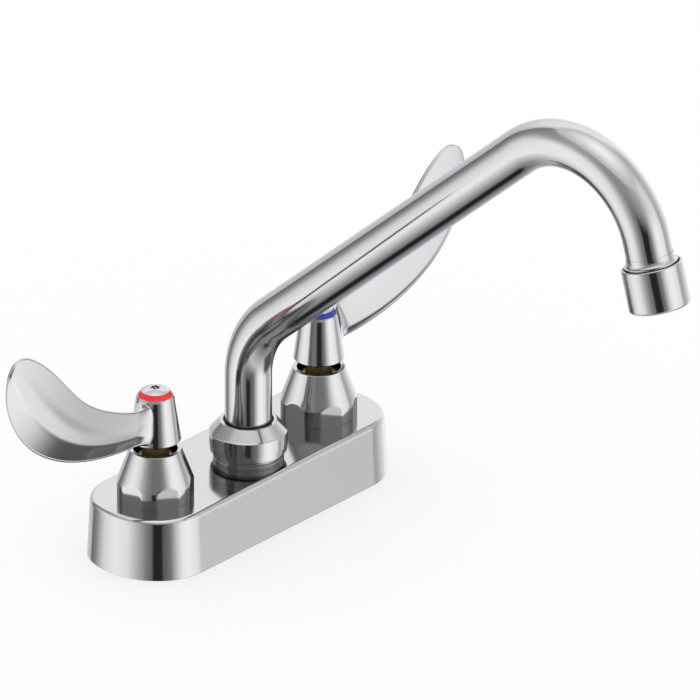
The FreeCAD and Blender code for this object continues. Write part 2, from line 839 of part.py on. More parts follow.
VALVE_PIECES = {
    "inlet_shank": inlet_shank,
    "shank_washer": shank_washer,
    "lock_nut": lock_nut,
    "bonnet": bonnet,
    "cartridge_body": cartridge_body,
    "body_oring": body_oring,
    "gland_nut": gland_nut,
    "seat_seal": seat_seal,
    "fixed_disc": fixed_disc,
    "moving_disc": moving_disc,
    "stem": stem,
    "stem_oring": stem_oring,
    "handle": handle,
    "index_ring": index_ring,
    "handle_screw": handle_screw,
}
SPOUT_PIECES = {
    "spout_nipple": spout_nipple,
    "spout_journal": spout_journal,
    "spout_oring_lower": lambda: rubber_ring(journal_groove_radius(), journal_ring_heights()[0]),
    "spout_oring_upper": lambda: rubber_ring(journal_groove_radius(), journal_ring_heights()[1]),
    "spout_thrust_washer": thrust_washer,
    "spout_nut": spout_nut,
    "spout_tube": spout_tube,
    "outlet_spud": outlet_spud,
    "aerator_housing": aerator_housing,
    "aerator_washer": aerator_washer,
    "aerator_insert": aerator_insert,
    "aerator_screen": aerator_screen,
}


def all_pieces():
    pieces = {"deck_body": deck_body(), "deck_gasket": deck_gasket()}
    origin = Vector(0, 0, 0)
    up = Vector(0, 0, 1)
    for name, make in VALVE_PIECES.items():
        made = make()
        # The hot valve is the cold one turned half a turn: both blades point outwards.
        pieces["cold_" + name] = made.translated(Vector(valve_x, 0, 0))
        turned_round = made.copy()
        turned_round.rotate(origin, up, 180)
        pieces["hot_" + name] = turned_round.translated(Vector(-valve_x, 0, 0))
    for name, make in SPOUT_PIECES.items():
        made = make()
        made = made.copy()
        made.rotate(origin, up, -90)
        pieces[name] = made.translated(Vector(0, -spout_forward, 0))
    return pieces


def main():
    os.makedirs("parts", exist_ok=True)
    for name, shape in all_pieces().items():
        solids = shape.Solids
        if len(solids) != 1 or not shape.isValid():
            print("check", name, "solids", len(solids), "valid", shape.isValid())
        shape.exportStep("parts/" + name + ".step")


main()
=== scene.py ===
"""Looks of a two-handle deck faucet: chrome skins, threads, aerator screen, finishes and a studio.

The frame's origin is on the deck, midway between the valves. +X runs from the hot valve to the
cold one, the spout points along -Y and +Z is up. Blender's lengths are metres, and sizes here are
written in millimetres times MM.
"""

import json
import math

import bmesh
import bpy
import numpy as np
from bpy.props import FloatProperty, FloatVectorProperty, IntProperty, PointerProperty
from bpy.types import Operator, Panel, PropertyGroup
from mathutils import Matrix, Vector


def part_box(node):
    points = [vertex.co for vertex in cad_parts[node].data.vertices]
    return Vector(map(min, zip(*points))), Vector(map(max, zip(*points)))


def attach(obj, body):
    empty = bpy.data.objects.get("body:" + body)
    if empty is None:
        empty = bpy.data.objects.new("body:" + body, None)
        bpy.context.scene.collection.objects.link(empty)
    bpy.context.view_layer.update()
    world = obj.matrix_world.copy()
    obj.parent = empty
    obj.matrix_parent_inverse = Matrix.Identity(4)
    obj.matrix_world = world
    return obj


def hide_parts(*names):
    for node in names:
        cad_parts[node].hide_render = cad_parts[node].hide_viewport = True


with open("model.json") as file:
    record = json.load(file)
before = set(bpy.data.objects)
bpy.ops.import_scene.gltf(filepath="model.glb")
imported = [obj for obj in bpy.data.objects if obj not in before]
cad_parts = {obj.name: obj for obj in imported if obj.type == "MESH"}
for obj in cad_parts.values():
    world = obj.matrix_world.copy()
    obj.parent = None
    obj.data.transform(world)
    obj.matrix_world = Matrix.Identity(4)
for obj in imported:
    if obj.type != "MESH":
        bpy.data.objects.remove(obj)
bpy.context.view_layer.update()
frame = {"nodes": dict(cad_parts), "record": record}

bl_info = {
    "name": "Deck Faucet Finisher",
    "version": (1, 0, 0),
    "blender": (4, 5, 0),
    "location": "View3D > Sidebar > Faucet",
    "description": "Builds the polished pieces, finishes and studio of a two-handle deck faucet",
    "category": "Add Mesh",
}

MM = 0.001
SIDES = ("hot", "cold")


def box_middle(node):
    low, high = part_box(node)
    return (low + high) / 2


# Places that the frame gives
VALVE_X = box_middle("cold_bonnet").x
BASE_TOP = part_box("cold_bonnet")[0].z
BONNET_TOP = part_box("cold_bonnet")[1].z
SPOUT_Y = box_middle("spout_nipple").y
CASTING_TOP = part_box("deck_body")[1].z
HALF_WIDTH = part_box("deck_body")[1].y
HALF_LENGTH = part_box("deck_body")[1].x
OUTLET = next(mount for mount in frame["record"]["mounts"] if mount["name"] == "outlet")


def length(millimetres, description):
    """A length that a user can set."""
    return FloatProperty(description=description, default=millimetres * MM, min=0.0,
                         unit="LENGTH", precision=5)


def share(default, description):
    return FloatProperty(description=description, default=default, min=0.0, max=1.0,
                         subtype="FACTOR")


def colour(default, description):
    return FloatVectorProperty(description=description, default=default, size=3, min=0.0,
                               max=1.0, subtype="COLOR")


def angle(degrees, description):
    return FloatProperty(description=description, default=math.radians(degrees), unit="ROTATION")


def count(default, description):
    return IntProperty(description=description, default=default, min=3)


def group_of(kind):
    """One of the groups of settings, described by its docstring."""
    return PointerProperty(type=kind, description=kind.__doc__.rstrip("."))


def labelled(group):
    """Gives every property of a group the name that its identifier spells."""
    for identifier, setting in group.__annotations__.items():
        setting.keywords["name"] = identifier.replace("_", " ").capitalize()
    return group


@labelled
class BaseSizes(PropertyGroup):
    """The cast base with its valve wells."""

    nose_radius: length(32.0, "Radius of each end's nose in plan")
    corner_radius: length(23.0, "Radius that joins the nose to the long sides")
    draft: angle(2.9, "Lean of the outer walls")
    top_round: length(2.0, "Radius of the top edge")
    foot_round: length(0.25, "Radius of the bottom edge")
    wall: length(3.0, "Thickness of the cast walls")
    roof: length(4.2, "Thickness of the cast roof")
    boss_radius: length(14.0, "Boss round each valve well")
    collar_radius: length(12.9, "Threaded collar that the bonnet screws on")
    well_radius: length(10.3, "Bore that holds the cartridge")
    well_floor: length(8.0, "Height of the well's floor over the deck")
    inlet_radius: length(4.5, "Hole from the shank into the well")
    inlet_web: length(1.5, "Thickness of the well's floor")
    socket_radius: length(8.18, "Socket for the inlet shank")
    boss_bottom: length(2.2, "Height of the bosses' lower faces over the deck")
    waterway_radius: length(3.6, "Cross bore from the valves to the spout")
    waterway_height: length(16.2, "Height of the cross bore")
    waterway_wall: length(3.6, "Metal round the cross bore")
    spout_boss_radius: length(16.5, "Boss under the spout")
    spout_bore_radius: length(12.35, "Bore for the spout's nipple")
    spout_bore_depth: length(5.0, "Depth of the nipple's bore")
    spout_drop_radius: length(10.9, "Bore from the nipple to the waterway")


@labelled
class BonnetSizes(PropertyGroup):
    """The conical bonnets with six wrench flats."""

    wall_radius: length(15.65, "Radius of the straight foot")
    wall_height: length(6.8, "Height of the straight foot")
    top_radius: length(10.5, "Radius at the top of the cone")
    mouth_radius: length(8.9, "Radius of the opening in the top")
    mouth_depth: length(3.6, "Depth of the opening's straight wall")
    shoulder_radius: length(10.9, "Where the inner cone meets the shoulder")
    shoulder_height: length(10.55, "Height of the inner shoulder")
    cavity_radius: length(12.6, "Room for the cartridge's flange")
    thread_radius: length(12.95, "Bore over the collar")
    thread_height: length(8.55, "Height of the threaded bore")
    flat_distance: length(14.87, "From the axis to each flat")
    flat_count: count(6, "Number of wrench flats")
    edge_blend: length(0.22, "Softness of the polished edges of the flats")
    wall_round: length(0.35, "Radius between the foot and the cone")
    rim_round: length(0.35, "Radius of the top rim")


@labelled
class HandleSizes(PropertyGroup):
    """Hub and wrist blade in one polished casting."""

    hub_gap: length(3.4, "From the bonnet's top to the hub")
    hub_height: length(20.1, "Height of the hub")
    bottom_radius: length(9.5, "Hub radius at the bottom edge")
    skirt_radius: length(10.3, "Hub radius at the skirt")
    skirt_height: length(0.9, "Height of the skirt's edge")
    shoulder_radius: length(7.75, "Hub radius at the shoulder")
    shoulder_height: length(19.1, "Height of the shoulder")
    lip_radius: length(7.15, "Hub radius at the top rim")
    seat_radius: length(7.05, "Recess for the index ring")
    seat_depth: length(2.0, "Depth of the index ring's recess")
    recess_radius: length(7.2, "Recess in the hub's underside")
    recess_depth: length(2.0, "Depth of the recess in the underside")
    socket_radius: length(4.65, "Bore over the stem's splines")
    socket_height: length(14.1, "Top of the bore over the stem")
    screw_hole_radius: length(2.45, "Hole for the handle screw")
    root_angle: angle(39.0, "How far round the hub the blade's root reaches")
    root_margin: share(0.02, "Bare share of the hub above and below the root")
    root_corner: share(0.62, "Squareness of the root's outline, 1 for an oval")
    root_share: share(0.12, "Where along the blade the root blend ends")
    side_pull: length(7.0, "How strongly the root follows the hub's sides")
    edge_pull: length(1.0, "How strongly the root turns at the blade's edges")
    upper_round: length(1.0, "Depth of the rounding along the upper edge")
    thumb_round: length(0.9, "Depth of the lower edge's rounding on the folded face")
    palm_round: length(0.9, "Depth of the lower edge's rounding on the flat face")
    bevel_slope: angle(43.0, "Slope of the bevel along the flat face's lower edge")
    bevel_turn: angle(12.0, "How much flatter the bevel is at the tip")
    bevel_share: share(0.8, "Share of the lower edge's thickness in the bevel")
    bevel_rise: length(2.2, "Where the bevel reaches its slope")
    rim_place: length(0.35, "From the folded face to the line of the lower rim")
    fold_reach: length(14.0, "Height below the ridge that the fold is drawn for")
    band_slope: angle(5.0, "Slope of the band right below the ridge")
    band_rise: length(2.0, "Where the band reaches its slope")
    low_slope: angle(19.0, "Slope of the fold near the lower edge")
    low_start: length(5.0, "Where the slope begins to grow again")
    low_rise: length(3.0, "How far the growing goes on")
    upper_thickness: length(1.9, "Thickness along the upper edge")
    step_height: length(0.31, "How far the folded face rises at the ridge")
    step_reach: length(3.0, "Half the width of the ridge's rise")
    step_fade: share(0.6, "Share of the length over which the rise fades to the tip")
    tip_radius: length(10.0, "Radius of the blade's outline at its tip")


@labelled
class IndexSizes(PropertyGroup):
    """Coloured index rings and the domed screws in them."""

    seat_radius: length(7.0, "Ring radius in the hub's recess")
    top_radius: length(5.75, "Ring radius at its top")
    bore_radius: length(3.1, "Hole through the ring")
    seat_depth: length(2.0, "Depth of the ring in the hub")
    rise: length(1.9, "Height of the ring over the hub")
    edge_round: length(0.22, "Radius of the ring's moulded edges")
    head_radius: length(5.65, "Radius of the screw's dome")
    head_rise: length(1.4, "Height of the screw's dome")
    shank_radius: length(2.4, "Radius of the screw's shank")
    shank_length: length(15.5, "Length of the screw's shank")
    lobe_offset: length(1.6, "From the axis to the middle of each lobe")
    lobe_radius: length(0.5, "Radius of each lobe of the recess")
    lobe_count: count(6, "Lobes of the drive recess")
    recess_depth: length(1.3, "Depth of the drive recess")
    pin_radius: length(0.45, "Pin in the middle of the drive recess")


@labelled
class SpoutSizes(PropertyGroup):
    """The bent tube, its nipple and its coupling nut. Heights are over the base's top."""

    tube_radius: length(9.525, "Outer radius of the tube")
    tube_wall: length(1.2, "Wall of the tube")
    tube_start: length(7.05, "Height of the tube's lower end")
    heel_rise: length(53.9, "Height of the heel's corner")
    heel_radius: length(38.0, "Bend radius at the heel")
    crook_radius: length(40.0, "Bend radius at the crook")
    outlet_run: length(73.7, "From the crook's corner to the aerator")
    nipple_radius: length(14.3, "Flange on the base")
    nipple_flange: length(3.3, "Height of the flange")
    groove_depth: length(0.7, "Depth of the flange's groove")
    groove_low: length(1.7, "Lower edge of the groove")
    groove_high: length(2.9, "Upper edge of the groove")
    nipple_thread: length(13.3, "Radius of the nipple's thread")
    nipple_height: length(11.5, "Height of the nipple")
    nipple_spigot: length(12.3, "Radius of the part in the base")
    nipple_depth: length(5.0, "Depth of the part in the base")
    nipple_bore: length(10.95, "Bore for the journal")
    nut_bottom: length(4.0, "Lower face of the nut")
    nut_foot_radius: length(15.45, "Radius at the lower edge")
    nut_band: length(6.7, "Where the foot meets the band")
    nut_step: length(0.12, "Step under the band")
    nut_radius: length(15.75, "Radius of the band")
    nut_wall_top: length(12.4, "Upper edge of the band")
    nut_cone_low: length(12.9, "Lower edge of the cone")
    nut_cone_radius: length(15.2, "Radius at the cone's lower edge")
    nut_top: length(17.0, "Upper face of the nut")
    nut_top_radius: length(11.5, "Radius at the upper face")
    nut_mouth: length(10.2, "Hole round the tube")
    nut_thread: length(13.35, "Threaded bore of the nut")
    nut_cavity: length(12.7, "Room over the nipple")
    nut_cavity_low: length(11.55, "Where the thread ends")
    nut_shoulder: length(14.45, "Shoulder over the thrust washer")
    edge_round: length(0.4, "Radius of the polished edges")


@labelled
class OutletSizes(PropertyGroup):
    """The spud and the aerator, along the flow from the aerator's upper rim."""

    bead_radius: length(11.0, "Radius of the spud's bead")
    bead_lip: length(0.7, "From the bead's upper edge to the rim")
    bead_height: length(0.9, "Height of the bead")
    flare_length: length(3.4, "Length of the bell over the bead")
    flare_edge: length(0.12, "Wall of the bell where it starts")
    thread_radius: length(10.7, "Radius of the spud's thread")
    spud_length: length(8.5, "How far the spud reaches")
    socket_depth: length(5.0, "How far the tube reaches into the spud")
    housing_radius: length(12.5, "Radius of the aerator")
    housing_length: length(17.8, "Length of the aerator")
    rim_bore: length(11.5, "Radius of the rim's bore")
    rim_depth: length(1.4, "Depth of the rim's bore")
    inner_thread: length(10.8, "Bore over the spud's thread")
    thread_depth: length(11.3, "Where the threaded bore ends")
    barrel_radius: length(10.4, "Bore round the insert")
    lip_radius: length(9.4, "Opening in the lower lip")
    lip_thickness: length(2.0, "Thickness of the lower lip")
    rim_round: length(0.5, "Radius of the upper rim")
    foot_round: length(1.1, "Radius of the lower edge")


@labelled
class ShankSizes(PropertyGroup):
    """The inlet shanks under the deck."""

    bore: length(5.5, "Radius of the waterway")
    fixing_radius: length(11.0, "Crest radius of the lock nut's thread")
    fixing_run: length(2.0, "How far the thread shows under the lock nut")
    supply_radius: length(10.45, "Crest radius of the supply thread")
    spigot_radius: length(8.15, "Radius of the part in the base")
    top: length(2.2, "Height of the threaded part over the deck")
    tip_chamfer: length(1.2, "Chamfer at the lower end")


@labelled
class ThreadSizes(PropertyGroup):
    """Helical thread ridges."""

    pitch: length(1.81, "From crest to crest")
    depth: length(0.55, "From crest to root")
    root_share: share(0.86, "Width of the ridge at its root, as a share of the pitch")
    crest_share: share(0.14, "Width of the ridge at its crest")
    steps: count(48, "Points in each turn of the helix")
    sink: length(0.04, "How far the ridge goes into the core")


@labelled
class ScreenSizes(PropertyGroup):
    """The woven screen in the aerator."""

    pitch: length(1.1, "From wire to wire")
    wire_radius: length(0.17, "Radius of the wire")
    wave: length(0.12, "How far each wire weaves up and down")
    steps: count(112, "Points along each wire")
    rim: length(0.15, "Gap between the wires and the screen's edge")


@labelled
class FinishColours(PropertyGroup):
    """Colours of the finishes."""

    chrome: colour((0.955, 0.957, 0.962), "Polished plating")
    # Turned brass, darker than its own colour: the darkening is painted shade for the recess under
    # the handles
    brass: colour((0.4, 0.34, 0.18), "Turned brass")
    zinc: colour((0.62, 0.63, 0.64), "Zinc-plated steel")
    steel: colour((0.6, 0.61, 0.62), "Stainless wire")
    rubber: colour((0.03, 0.03, 0.03), "Nitrile rubber")
    gasket: colour((0.12, 0.12, 0.13), "Closed-cell sheet")
    ceramic: colour((0.9, 0.9, 0.88), "Lapped ceramic")
    nylon: colour((0.85, 0.84, 0.8), "Natural nylon")
    acetal: colour((0.82, 0.83, 0.84), "White moulding")
    hot_index: colour((0.86, 0.03, 0.03), "Hot index ring")
    cold_index: colour((0.03, 0.05, 0.33), "Cold index ring")


@labelled
class StudioSizes(PropertyGroup):
    """Camera, floor and how the studio is mirrored."""

    azimuth: angle(-50.0, "Direction of the camera round the faucet")
    elevation: angle(24.9, "Height of the camera over the horizon")
    field: length(281.2, "Width of the picture at the faucet")
    lens: FloatProperty(description="Focal length", default=1650.0, unit="CAMERA")
    sensor: FloatProperty(description="Sensor width", default=36.0, unit="CAMERA")
    floor_glow: share(0.6, "How much of the floor's white is free of shadow")
    floor_reach: length(60000.0, "Half the side of the floor")
    echo: share(0.3, "How bright the studio stays in each further mirroring")


@labelled
class FaucetSettings(PropertyGroup):
    """All settings of the faucet."""

    base: group_of(BaseSizes)
    bonnet: group_of(BonnetSizes)
    handle: group_of(HandleSizes)
    index: group_of(IndexSizes)
    spout: group_of(SpoutSizes)
    outlet: group_of(OutletSizes)
    shank: group_of(ShankSizes)
    thread: group_of(ThreadSizes)
    screen: group_of(ScreenSizes)
    colours: group_of(FinishColours)
    studio: group_of(StudioSizes)


def faucet():
    """The settings of the scene."""
    return bpy.context.scene.faucet


# Wrist blade edges: distance from the valve axis and height over the base's top, in millimetres
BLADE_LOWER = [(3.0, 27.0), (14.0, 26.9), (31.0, 28.1), (54.8, 33.8), (77.4, 47.8),
               (88.9, 66.0), (90.9, 77.5), (88.8, 85.6)]
BLADE_UPPER = [(3.0, 41.4), (13.2, 42.4), (27.0, 46.8), (46.0, 57.7), (64.6, 77.0),
               (75.2, 86.3), (82.6, 89.2), (88.8, 85.6)]
# Blade thickness at shares of the way from the hub to the tip
BLADE_THICKNESS = [(0.0, 9.0), (0.12, 7.9), (0.2, 7.6), (0.34, 7.3), (0.52, 7.0), (0.72, 6.0),
                   (0.88, 4.0), (1.0, 1.7)]
# Where the ridge of the folded face runs: share of the blade's height at shares of its length
BLADE_RIDGE = [(0.0, 0.57), (0.14, 0.57), (0.26, 0.56), (0.38, 0.57), (0.5, 0.59), (0.62, 0.6),
               (0.74, 0.6), (0.87, 0.62), (1.0, 0.64)]

# Mesh fineness: steps round a piece, rows along it, and points that hold a flat beside a round
TURN_STEPS = 192
SCREW_STEPS = 144
SMALL_STEPS = 128
HIDDEN_STEPS = 96
WATERWAY_STEPS = 48
NOSE_STEPS = 40
CORNER_STEPS = 30
EDGE_STEPS = 80
SIDE_STEPS = 80
HUB_ROWS = 24
ROOT_ROWS = 30
BLADE_ROWS = 110
FLARE_ROWS = 14
WIRE_SIDES = 7
ROUND_STEP = math.radians(9)
BEND_STEP = math.radians(1.2)
SUPPORT = 0.04 * MM
WIDE_SUPPORT = 8 * SUPPORT
BEND_SUPPORT = 20 * SUPPORT
MERGE = 0.002 * MM
# Edges steeper than these stay sharp
SHARP = math.radians(32)
LATHE_SHARP = math.radians(10.5)
BONNET_SHARP = math.radians(40)
# Radii of edges that are only broken, from the crispest to the softest
LIP_ROUND = 0.03 * MM
FAINT_ROUND = 0.05 * MM
THIN_ROUND = 0.1 * MM
FINE_ROUND = 0.15 * MM
SMALL_ROUND = 0.2 * MM
SOFT_ROUND = 0.3 * MM


def rounded(corners):
    """Points of an outline from (x, y, radius) corners: arcs at the rounds, with support points
    beside them that keep the flats' shading flat. The outline is closed."""
    points = []
    total = len(corners)
    for index, (x, y, radius) in enumerate(corners):
        corner = Vector((x, y))
        if radius <= 0:
            points.append(corner)
            continue
        back = Vector(corners[index - 1][:2]) - corner
        ahead = Vector(corners[(index + 1) % total][:2]) - corner
        half = back.angle(ahead) / 2
        setback = radius / math.tan(half)
        back.normalize()
        ahead.normalize()
        middle = corner + (back + ahead).normalized() * (radius / math.sin(half))
        start = corner + back * setback
        end = corner + ahead * setback
        spin = (start - middle).angle_signed(end - middle)
        steps = max(2, math.ceil(abs(spin) / ROUND_STEP))
        points.append(start + back * SUPPORT)
        for step in range(steps + 1):
            turned_arm = (start - middle).copy()
            turned_arm.rotate(Matrix.Rotation(-spin * step / steps, 2))
            points.append(middle + turned_arm)
        points.append(end + ahead * SUPPORT)
    return points


def full_turn(steps):
    return np.arange(steps) * 2 * math.pi / steps


def ring_of(radius, turns, height):
    """Points round Z. Their radius and height may change from one to the next."""
    return np.column_stack([radius * np.cos(turns), radius * np.sin(turns),
                            np.broadcast_to(height, turns.shape)])


class Skin:
    """The points and faces of a piece while it is put together."""

    def __init__(self):
        self.points = np.zeros((0, 3))
        self.faces = []

    def add_grid(self, grid, close_rows=False, close_columns=True):
        """Adds quads over a grid of points, row by row."""
        grid = np.asarray(grid, float)
        rows, columns = grid.shape[:2]
        start = len(self.points)
        self.points = np.concatenate([self.points, grid.reshape(-1, 3)])
        for row in range(rows if close_rows else rows - 1):
            above = start + row * columns
            below = start + (row + 1) % rows * columns
            for column in range(columns if close_columns else columns - 1):
                beside = (column + 1) % columns
                self.faces.append((above + column, above + beside, below + beside, below + column))

    def add_cap(self, ring):
        """Closes a ring of points with one flat face."""
        start = len(self.points)
        self.points = np.concatenate([self.points, np.asarray(ring, float)])
        self.faces.append(tuple(range(start, start + len(ring))))


def turned_skin(outline, steps=TURN_STEPS):
    """A skin of a closed outline of (radius, height) points turned about Z."""
    turns = full_turn(steps)
    skin = Skin()
    skin.add_grid([ring_of(radius, turns, height) for radius, height in outline], close_rows=True)
    return skin


def linked(name, data):
    """A new object in the scene."""
    made = bpy.data.objects.new(name, data)
    bpy.context.scene.collection.objects.link(made)
    return made


def smoothed(mesh, sharp=SHARP):
    mesh.shade_smooth()
    mesh.set_sharp_from_angle(angle=sharp)


def finished(name, skin, place=None, sharp=SHARP):
    """A mesh object of a skin: doubles merged, faces outwards, flats and edges kept crisp."""
    mesh = bpy.data.meshes.new(name)
    mesh.from_pydata(skin.points.tolist(), [], skin.faces)
    if place is not None:
        mesh.transform(place)
    built = bmesh.new()
    built.from_mesh(mesh)
    bmesh.ops.remove_doubles(built, verts=built.verts, dist=MERGE)
    bmesh.ops.dissolve_degenerate(built, edges=built.edges, dist=MERGE / 2)
    bmesh.ops.recalc_face_normals(built, faces=built.faces)
    built.to_mesh(mesh)
    built.free()
    smoothed(mesh, sharp)
    return linked(name, mesh)


def seat(made, body, slot_name, *nodes):
    """Gives a piece its finish, hangs it on its body and hides the frame's nodes that it stands
    for.
    """
    made.data.materials.clear()
    made.data.materials.append(finish(slot_name))
    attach(made, body)
    if nodes:
        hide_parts(*nodes)


def seat_pair(ending, skin, node_ending, body=None, slots=("chrome", "chrome"), sharp=SHARP):
    """Seats a skin at both valves, on the body given or else on each valve's own."""
    for side, slot_name in zip(SIDES, slots):
        made = finished(side + ending, skin, valve_place(side), sharp)
        seat(made, body or side + "_valve", slot_name, side + node_ending)


def valve_place(side):
    """The hot valve is the cold one turned half a turn."""
    if side == "cold":
        return Matrix.Translation((VALVE_X, 0, 0))
    return Matrix.Translation((-VALVE_X, 0, 0)) @ Matrix.Rotation(math.pi, 4, "Z")


def spout_place():
    return Matrix.Translation((0, SPOUT_Y, 0))


def flow_direction():
    return Vector(OUTLET["axis"]).normalized()


def outlet_rim():
    """The middle of the aerator's upper rim."""
    return Vector(OUTLET["pos_m"]) - flow_direction() * faucet().outlet.housing_length


def outlet_place():
    """Moves a piece made with the flow along +Z to the spout's outlet."""
    flow = flow_direction()
    across = Vector((1, 0, 0))
    turn = Matrix((across, flow.cross(across), flow)).transposed().to_4x4()
    return Matrix.Translation(outlet_rim()) @ turn


# Node helpers
def feed(tree, node, inputs):
    """Sets a node's inputs, and links those that are given as sockets or nodes."""
    for key, value in inputs.items():
        if isinstance(value, bpy.types.Node):
            value = value.outputs[0]
        if isinstance(value, bpy.types.NodeSocket):
            tree.links.new(value, node.inputs[key])
        else:
            node.inputs[key].default_value = value


def put(tree, kind, inputs=None, **settings):
    """Adds a node, sets its options and sets or links its inputs."""
    node = tree.nodes.new(kind)
    for key, value in settings.items():
        setattr(node, key, value)
    feed(tree, node, inputs or {})
    return node


def calc(tree, operation, *values):
    return put(tree, "ShaderNodeMath", dict(enumerate(values)), operation=operation).outputs[0]


def vector_calc(tree, operation, *values):
    """A number for a length or a dot product, and otherwise a vector."""
    node = put(tree, "ShaderNodeVectorMath", dict(enumerate(values)), operation=operation)
    return node.outputs["Value" if operation in ("LENGTH", "DOT_PRODUCT") else "Vector"]


def mixed(tree, amount, first, second, blend="MIX"):
    return put(tree, "ShaderNodeMix", {"Factor": amount, "A": first, "B": second},
               data_type="RGBA", blend_type=blend).outputs["Result"]


def new_tree(name, kind, inputs, outputs):
    """A node group with its inputs and outputs, whose labels are given with their socket types."""
    tree = bpy.data.node_groups.new(name, kind)
    for side, sockets in (("INPUT", inputs), ("OUTPUT", outputs)):
        for label, socket in sockets.items():
            tree.interface.new_socket(label, in_out=side, socket_type="NodeSocket" + socket)
    return tree, tree.nodes.new("NodeGroupInput").outputs, tree.nodes.new("NodeGroupOutput")


# Each slot's colour, metallic share, range of roughness, spread of its colour, relief and how deep
# its turning marks are
FINISHES = {
    "chrome": ("chrome", 1.0, (0.004, 0.012), 0.01, 0.02, 0.0),
    # The raw brass tint is darker than brass: it carries painted shade for the recess under the
    # handles
    "raw_brass": ("brass", 1.0, (0.09, 0.18), 0.12, 0.15, 0.6),
    "zinc_steel": ("zinc", 1.0, (0.3, 0.5), 0.1, 0.3, 0.4),
    "steel_mesh": ("steel", 1.0, (0.2, 0.3), 0.1, 0.1, 0.0),
    "black_rubber": ("rubber", 0.0, (0.5, 0.7), 0.2, 0.4, 0.0),
    "grey_gasket": ("gasket", 0.0, (0.7, 0.9), 0.2, 0.6, 0.0),
    "ceramic": ("ceramic", 0.0, (0.1, 0.2), 0.02, 0.05, 0.0),
    "nylon": ("nylon", 0.0, (0.4, 0.55), 0.04, 0.2, 0.0),
    "white_plastic": ("acetal", 0.0, (0.35, 0.5), 0.04, 0.2, 0.0),
    "index_red": ("hot_index", 0.0, (0.25, 0.35), 0.04, 0.1, 0.0),
    "index_blue": ("cold_index", 0.0, (0.25, 0.35), 0.04, 0.1, 0.0),
}
# Scales of the fine and the coarse grain, for polished chrome and for everything else
CHROME_GRAIN = (500.0, 35.0)
GRAIN = (900.0, 60.0)
# Noise detail of the two grains, and how much of the fine one is in the relief
FINE_DETAIL, COARSE_DETAIL = 3.0, 4.0
FINE_SHARE = 0.3
# The coarse grain's values between which the roughness changes
GRAIN_LOW, GRAIN_HIGH = 0.25, 0.75
RELIEF_DEPTH = 0.01 * MM
MARK_PITCH = 0.3 * MM
MARK_JITTER = 1500.0
# Drops the height from a place
FLAT = (1.0, 1.0, 0.0)


def grain_group():
    """Surface variation: the coarse one as a mask, and both as a height."""
    name = "surface grain"
    if name in bpy.data.node_groups:
        return bpy.data.node_groups[name]
    group, entry, leave = new_tree(name, "ShaderNodeTree",
                                   {"Fine scale": "Float", "Coarse scale": "Float"},
                                   {"Coarse": "Float", "Height": "Float"})
    where = put(group, "ShaderNodeTexCoord").outputs["Object"]
    fine, coarse = (
        put(group, "ShaderNodeTexNoise", {"Vector": where, "Scale": entry[scale], "Detail": detail}
            ).outputs["Fac"]
        for scale, detail in (("Fine scale", FINE_DETAIL), ("Coarse scale", COARSE_DETAIL)))
    feed(group, leave, {"Coarse": coarse,
                        "Height": calc(group, "MULTIPLY_ADD", fine, FINE_SHARE, coarse)})
    return group


def marks_group():
    """Turning marks round both valve axes, as a height."""
    name = "turning marks"
    if name in bpy.data.node_groups:
        return bpy.data.node_groups[name]
    group, _, leave = new_tree(name, "ShaderNodeTree", {}, {"Height": "Float"})
    where = put(group, "ShaderNodeTexCoord").outputs["Object"]
    from_axis = vector_calc(group, "SUBTRACT", vector_calc(group, "ABSOLUTE", where),
                            (VALVE_X, 0.0, 0.0))
    radius = vector_calc(group, "LENGTH", vector_calc(group, "MULTIPLY", from_axis, FLAT))
    height = put(group, "ShaderNodeSeparateXYZ", {0: where}).outputs["Z"]
    turns = calc(group, "DIVIDE", calc(group, "ADD", radius, height), MARK_PITCH)
    wave = calc(group, "SINE", calc(group, "MULTIPLY", turns, 2 * math.pi))
    jitter = put(group, "ShaderNodeTexNoise", {"Vector": where, "Scale": MARK_JITTER})
    feed(group, leave, {"Height": calc(group, "MULTIPLY", wave, jitter.outputs["Fac"])})
    return group


def finish(slot_name):
    """The material of a slot. Colour, roughness and relief follow the grain, and turned metal has
    its marks."""
    if slot_name in bpy.data.materials:
        return bpy.data.materials[slot_name]
    tint, metallic, rough, spread, relief, turned = FINISHES[slot_name]
    material = bpy.data.materials.new(slot_name)
    material.use_nodes = True
    tree = material.node_tree
    fine, coarse = CHROME_GRAIN if slot_name == "chrome" else GRAIN
    grain = put(tree, "ShaderNodeGroup", {"Fine scale": fine, "Coarse scale": coarse},
                node_tree=grain_group()).outputs
    mask, height = grain["Coarse"], grain["Height"]
    if turned:
        marks = put(tree, "ShaderNodeGroup", node_tree=marks_group()).outputs["Height"]
        height = calc(tree, "MULTIPLY_ADD", marks, turned, height)
    base = getattr(faucet().colours, tint)
    low = [channel * (1 - spread) for channel in base] + [1.0]
    high = [min(1.0, channel * (1 + spread)) for channel in base] + [1.0]
    roughness = put(tree, "ShaderNodeMapRange", {
        "Value": mask, "From Min": GRAIN_LOW, "From Max": GRAIN_HIGH, "To Min": rough[0],
        "To Max": rough[1]})
    bump = put(tree, "ShaderNodeBump", {
        "Height": height, "Strength": relief, "Distance": RELIEF_DEPTH})
    feed(tree, tree.nodes["Principled BSDF"], {
        "Metallic": metallic, "Base Color": mixed(tree, mask, low, high),
        "Roughness": roughness.outputs["Result"], "Normal": bump.outputs["Normal"]})
    return material


# The base's hidden parts: where its roof starts, and how far the bores are cut past their ends
ROOF_EDGE = 8 * MM
OVERCUT = MM


